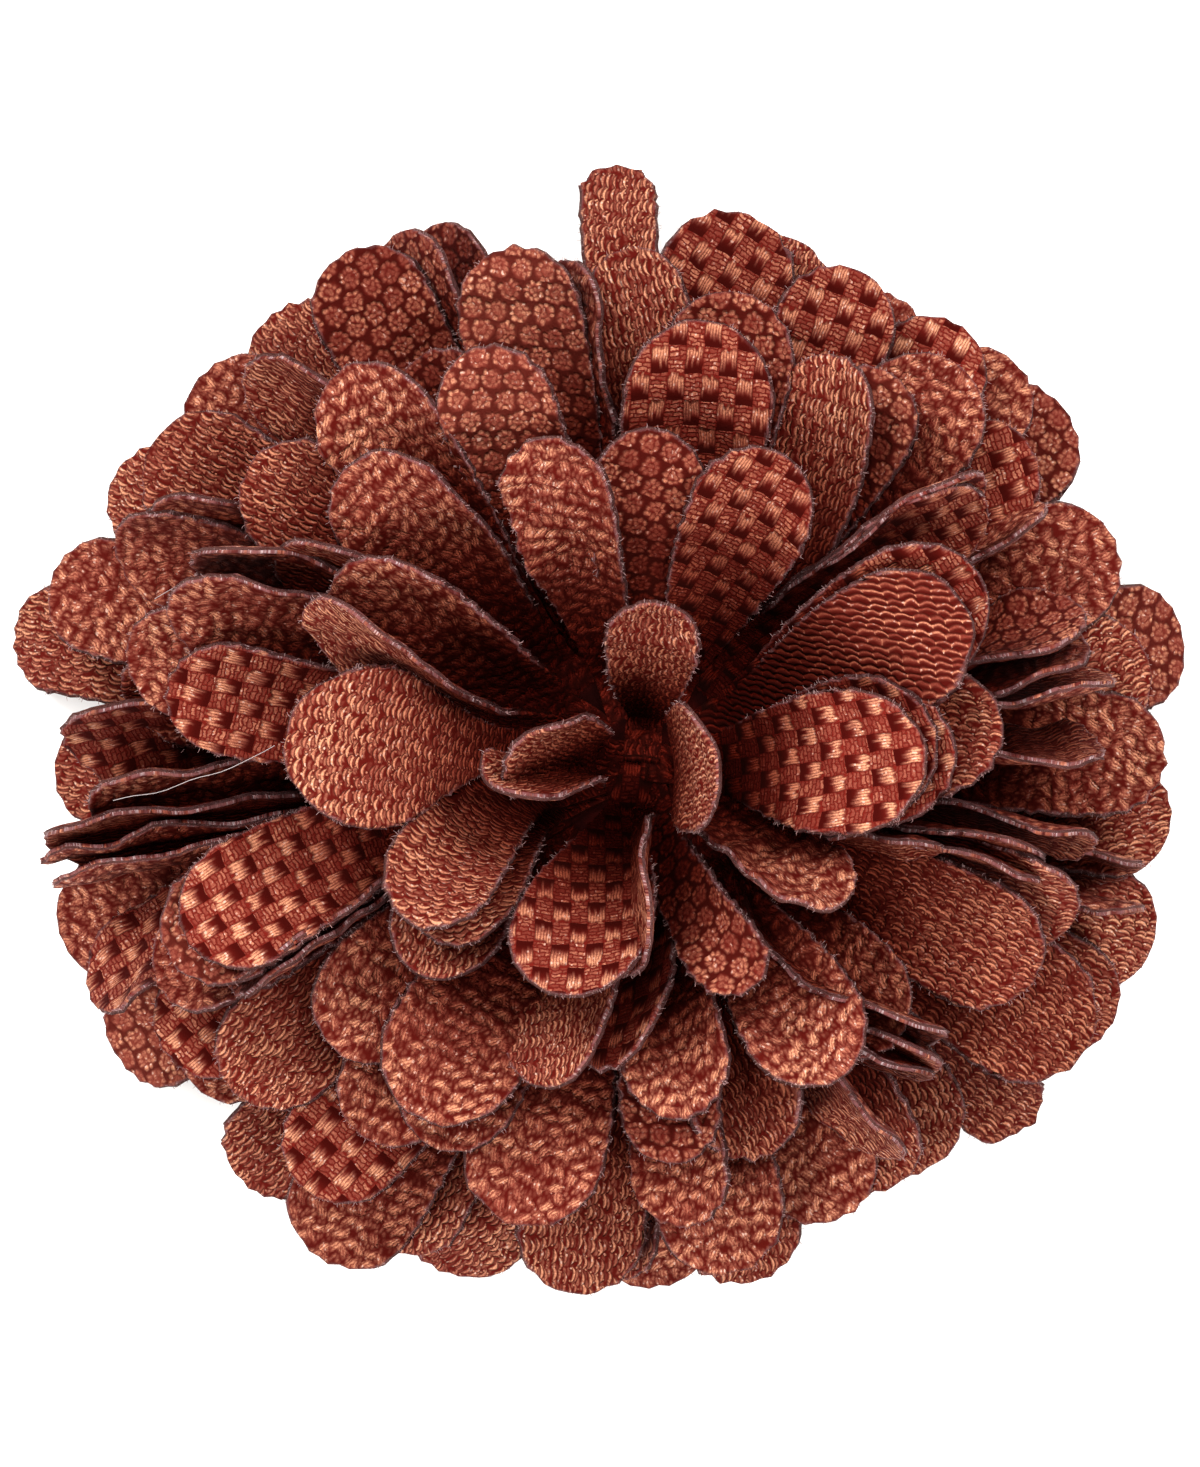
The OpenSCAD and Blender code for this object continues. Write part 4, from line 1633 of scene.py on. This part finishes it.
BACK = [
    Petal(13, .95, .02, .98, 0, 0, S), Petal(40, .94, .24, 1.04, 0, 0, S),
    Petal(47, .93, .32, .92, 0, 0, G), Petal(53.5, .92, .39, .92, 0, 0, B),
    Petal(61, .90, .30, .88, 0, 0, G), Petal(74.5, .93, .26, .96, 0, 0, C),
    Petal(80, .95, .35, 1.06, 0, 0, B, 12), Petal(92.3, 1.02, .02, .60, 0, 0, C),
    Petal(112, .98, .23, .92, -30, 0, S), Petal(115, .99, .31, .88, -40, 0, S),
    Petal(120, 1.00, .33, .94, -5, -3, S), Petal(129.5, .99, .12, .92, 0, 0, C),
    Petal(139, 1.00, .17, .96, 0, 0, G), Petal(147, .99, .27, 1.08, 0, 0, C),
    Petal(151.5, 1.02, .18, .88, 0, 0, C), Petal(163, 1.05, .17, .92, 0, 0, G),
    Petal(168, 1.09, .02, .86, 0, 0, C), Petal(181, 1.00, .17, .92, 0, 0, C),
    Petal(196.5, 1.04, .07, .92, 0, 0, G), Petal(209, 1.03, .02, .92, 0, 0, S),
    Petal(215, .94, .25, .90, 0, 0, G), Petal(226.5, .99, .15, .84, 0, 0, C),
    Petal(237, 1.01, .27, 1.04, 0, 0, G), Petal(242.5, .94, .20, .88, 0, 0, C),
    Petal(249.5, .94, .10, .96, 0, 0, C), Petal(263, .91, .36, 1.00, 0, 2, C),
    Petal(267, .88, .24, .92, 30, 0, C), Petal(271, .90, .02, .92, 0, 0, G),
    Petal(282, .91, .28, .96, 0, 0, C), Petal(306.5, .85, .24, 1.00, 0, 0, C, light=-1.3),
    Petal(317.5, .92, .04, .70, 15, 7, C, 0, 1.6, .12, 1.0, 0, -1.5),
    Petal(331, .92, .27, .92, 0, 0, C, light=-1.3), Petal(340, .93, .20, 1.00, 0, 0, C),
    Petal(344, .89, .39, .80, 85, 8, C), Petal(348, .87, .34, .88, 78, 0, C),
    Petal(353.5, .91, .28, .96, 0, 0, C),
]
OUTER = [
    Petal(1, .89, .45, .96, 0, 0, G, 10), Petal(10.5, .88, .40, 1.04, 0, 0, C),
    Petal(25, .89, .42, 1.04, 0, 0, G), Petal(32, .81, .54, .88, -65, 0, G),
    Petal(40, .85, .48, 1.00, 0, 0, B), Petal(51, .86, .52, 1.04, 0, 0, G),
    Petal(66, .91, .45, .94, 0, 0, B), Petal(92, .87, .50, .78, 0, 12, C),
    Petal(99, .86, .50, .92, -50, 0, G), Petal(105, .90, .53, .98, -10, 0, S),
    Petal(136, .94, .48, .92, -50, 22, C), Petal(154, .93, .48, .96, -50, 22, G),
    Petal(157, .97, .42, .92, -40, 10, G), Petal(172, .89, .46, .92, -30, 10, C),
    Petal(178, .98, .39, .96, -55, 12, B), Petal(184, .94, .46, .96, -60, 5, G),
    Petal(187, 1.02, .40, .92, -70, 0, C), Petal(189, 1.03, .35, .88, 88, 0, C),
    Petal(192, 1.02, .33, .88, 88, 0, C), Petal(203.5, 1.02, .32, .92, 50, 15, B),
    Petal(211, .95, .37, .96, 0, 0, B), Petal(219, .89, .48, .98, 0, 5, C),
    Petal(231, .92, .43, .98, 0, -8, B), Petal(280, .88, .45, 1.00, 0, 0, G),
    Petal(293, .85, .40, .96, 0, -3, G), Petal(301, .84, .35, .92, 20, 0, C),
    Petal(327, .90, .46, 1.12, 0, 0, C, light=-1.5),
]
MIDDLE = [
    Petal(1, .78, .65, .92, -75, 0, C), Petal(9, .81, .65, .92, -75, 0, C),
    Petal(14, .78, .66, .92, -60, 0, G), Petal(18, .79, .67, .92, -60, 0, S),
    Petal(38, .73, .75, 1.00, 55, -12, B), Petal(40, .75, .75, .92, 60, -12, B),
    Petal(57, .78, .63, .88, 0, 0, S), Petal(65, .76, .70, .84, -20, 22, C),
    Petal(78, .81, .68, 1.04, 0, 0, S), Petal(81, .75, .77, 1.16, 0, 0, B, 12),
    Petal(112, .75, .80, .92, -10, 0, S), Petal(118, .78, .69, .92, -20, 0, S),
    Petal(127, .83, .75, 1.00, -20, -5, G), Petal(134, .70, .84, 1.04, -25, 0, G),
    Petal(143, .83, .64, 1.00, -10, 5, C), Petal(149, .71, .75, .96, -60, 10, C),
    Petal(156, .83, .68, .96, -60, 20, G), Petal(162, .84, .71, .96, -45, 13, G),
    Petal(167, .89, .59, .96, -20, 0, G), Petal(171, .81, .67, .92, -20, 0, B),
    Petal(202, .82, .77, 1.00, 10, 13, B), Petal(203, .86, .71, .98, 5, 13, S),
    Petal(205, .90, .53, .96, 20, 5, G), Petal(207, .80, .69, .96, 65, 10, G),
    Petal(210, .79, .65, .96, 65, 10, G), Petal(223, .71, .66, 1.04, 0, 5, G),
    Petal(225, .52, .75, .88, 0, 25, C), Petal(233, .79, .57, .92, 0, 0, G),
    Petal(238, .71, .73, 1.12, 0, 5, G), Petal(241, .74, .65, .92, 0, 0, G),
    Petal(254, .57, .78, .92, 45, 0, C), Petal(255, .81, .60, 1.10, 0, 2, G),
    Petal(262, .52, .75, .92, 45, -19, B), Petal(275, .68, .66, .78, 10, 0, S),
    Petal(276, .79, .56, .80, 25, 0, G), Petal(277, .60, .77, .86, 18, 0, G),
    Petal(287, .70, .58, .88, 0, 0, C, 0, 1.6, .5), Petal(302, .63, .78, .96, 0, 0, G),
    Petal(304, .80, .61, .92, 70, 12, C), Petal(311, .64, .68, .98, -10, 0, G),
    Petal(312, .73, .60, .88, 75, 15, C), Petal(315, .72, .65, .88, 75, 25, C),
    Petal(318, .69, .70, .88, 80, 25, G), Petal(332, .76, .66, 1.04, 15, 0, C, light=-1.3),
    Petal(341, .78, .65, .96, 45, 0, C), Petal(344, .52, .78, .64, 88, 9, C),
    Petal(344, .71, .67, .92, 75, 0, C), Petal(347, .70, .70, .92, 78, 0, C),
    Petal(351, .78, .66, .80, 75, 0, C),
]
INNER = [
    Petal(2, .53, .88, 1.08, 5, 0, B), Petal(4, .50, .90, 1.12, 5, 0, B),
    Petal(6, .61, .82, 1.00, 0, 0, C), Petal(25, .60, .91, 1.12, 0, 0, T),
    Petal(29, .65, .84, 1.12, 10, 0, B), Petal(67, .57, .87, .96, 10, 0, B),
    Petal(89, .56, .87, .92, 5, 0, S), Petal(107, .57, .91, .86, -25, 0, G),
    Petal(147, .60, .88, .98, -40, 0, G), Petal(153, .61, .91, .92, -60, -18, C),
    Petal(178, .60, .91, 1.26, 0, 5, C, 90, 6.0, .06, .5, .14, -1.9),
    Petal(216, .47, .93, .86, 5, 34, C, 80), Petal(224, .45, .81, .86, 10, 34, C, 80),
]
HEART = [
    Petal(0, .14, 1.02, 1.00, 0, 14, C), Petal(0, .47, .97, 1.12, 0, 0, B),
    Petal(85, .27, 1.03, .72, 0, 0, C), Petal(172, .22, .99, .84, -42, 0, C),
    Petal(190, .25, .97, .76, 60, 0, C), Petal(251, .42, .93, 1.08, 15, 0, B),
    Petal(267, .34, .92, 1.00, 68, 0, C), Petal(298, .42, .88, .64, 20, 18, S),
    Petal(324, .41, .93, .92, -50, 0, G),
]
RINGS = [
    RingSizes(0, 6.2, 0.15, 1.3, 0.20),
    RingSizes(1, 5.6, 0.14, 1.3, 0.43),
    RingSizes(2, 4.9, 0.16, 1.4, 0.68),
    RingSizes(3, 3.7, 0.17, 1.6, 0.88),
    RingSizes(4, 1.9, 0.16, 1.4, 0.97),
]


@dataclass
class Studio:
    """Camera, lights and pale floor."""

    frame_px: tuple[int, int] = (1200, 1467)
    px_per_mm: float = 25.5
    middle_z: float = 6.0
    away: float = 700.0
    sensor: float = 36.0
    clip: tuple[float, float] = (0.01, 10.0)
    floor_w: float = 900.0
    floor_rate: float = 40.0
    floor_rough: float = 0.9
    lamp_w: float = 0.30
    lamp_colour: Colour = (1.0, 0.985, 0.96)
    room: float = 0.16
    floor_lines: int = 9
    floor_tints: tuple[Colour, Colour] = ((0.90, 0.90, 0.90), (0.92, 0.92, 0.92))
    lamps: tuple = (
        ("key_upper_left", (-0.36, 0.42, 0.50), 8.0),
        ("key_upper_right", (0.40, 0.38, 0.50), 7.0),
        ("fill_lower_left", (-0.44, -0.38, 0.46), 6.5),
        ("fill_lower_right", (0.40, -0.44, 0.46), 5.5),
        ("top", (0.0, 0.1, 0.80), 3.0),
    )

    def camera(self) -> None:
        """Sets the camera straight over the flower, as far as a long lens stands."""
        data = bpy.data.cameras.new("view_camera")
        data.sensor_width = self.sensor
        data.lens = self.sensor * self.away / (self.frame_px[1] / self.px_per_mm)
        data.clip_start, data.clip_end = self.clip
        holder = bpy.data.objects.new("view_camera", data)
        holder.location = (0.0, 0.0, (self.middle_z + self.away) * MM)
        bpy.context.scene.collection.objects.link(holder)
        bpy.context.scene.camera = holder

    def lamp(self, name: str, place: Triple, size: float, power: float,
             colour: Colour) -> None:
        """Adds a square soft lamp that faces the flower.

        Args:
            name: Its name.
            place: Its place, m.
            size: Its side, m.
            power: Its power, W.
            colour: Its colour.
        """
        data = bpy.data.lights.new(name, "AREA")
        data.shape, data.size, data.energy, data.color = "SQUARE", size, power, colour
        holder = bpy.data.objects.new(name, data)
        holder.location = place
        aim = -holder.location
        holder.rotation_euler = aim.to_track_quat("-Z", "Y").to_euler()
        bpy.context.scene.collection.objects.link(holder)

    def lights(self) -> None:
        """Sets soft lamps all round the flower, low enough to leave its heart dark."""
        for name, place, power in self.lamps:
            self.lamp(name, place, self.lamp_w, power, self.lamp_colour)
        world = bpy.data.worlds.new("soft_room")
        world.use_nodes = True
        light = world.node_tree.nodes["Background"].inputs
        light["Color"].default_value = (1.0, 1.0, 1.0, 1.0)
        light["Strength"].default_value = self.room
        bpy.context.scene.world = world
        bpy.context.scene.view_settings.view_transform = "Standard"
        bpy.context.scene.view_settings.look = "None"

    def floor(self) -> None:
        """Lays the plain pale floor."""
        h = self.floor_w / 2
        grid = np.linspace(-h, h, self.floor_lines)
        xs, ys = np.meshgrid(grid, grid)
        points = np.stack([xs.ravel(), ys.ravel(), np.zeros(xs.size)], 1)
        quads = grid_quads(np.arange(xs.size).reshape(xs.shape))
        g = NodeGraph("pale_floor")
        place = g.own_place()
        tint = g.blend(g.noise(place, self.floor_rate), *self.floor_tints)
        finish = g.finish({"Roughness": self.floor_rough}, {"Base Color": tint})
        skin = Skin()
        shell(skin, points, quads)
        piece = skin.to_object("floor", [finish])

    def build(self) -> None:
        """Sets the whole studio."""
        self.camera()
        self.lights()
        self.floor()
        LOG.info("studio: camera %.0f mm over the flower", self.away)


def main() -> None:
    """Builds and dresses the whole flower pin and sets its studio."""
    logging.basicConfig(level=logging.INFO, format="%(message)s")
    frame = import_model()
    cloths = {weave: SatinCloth(weave).material(f"petal_cloth_{weave.value}") for weave in Weave}
    rings = [
        PetalRing("back_petal_cloth", "back_petals", "petal_cloth_back", RINGS[0], BACK, 1),
        PetalRing("outer_petal_cloth", "outer_petals", "petal_cloth_outer", RINGS[1], OUTER, 2),
        PetalRing("middle_petal_cloth", "middle_petals", "petal_cloth_middle", RINGS[2], MIDDLE, 3),
        PetalRing("inner_petal_cloth", "inner_petals", "petal_cloth_inner", RINGS[3], INNER, 4),
        PetalRing("heart_petal_cloth", "heart_petals", "petal_cloth_heart", RINGS[4], HEART, 5),
    ]
    air = OpenAir()
    air.gather([form.centre for ring in rings for form in ring.forms])
    for ring in rings:
        ring.build(cloths, air)
    FrayedEdges(rings).build(Thread((0.30, 0.150, 0.145)))
    GatheredRoots(RINGS).build(PressedCloth())
    FeltBacking().build(MattFelt())
    SteelPin().build(frame, BrightSteel())
    StrayFibres().build(Thread((0.34, 0.28, 0.28)))
    Studio().build()


if __name__ == "__main__":
    main()
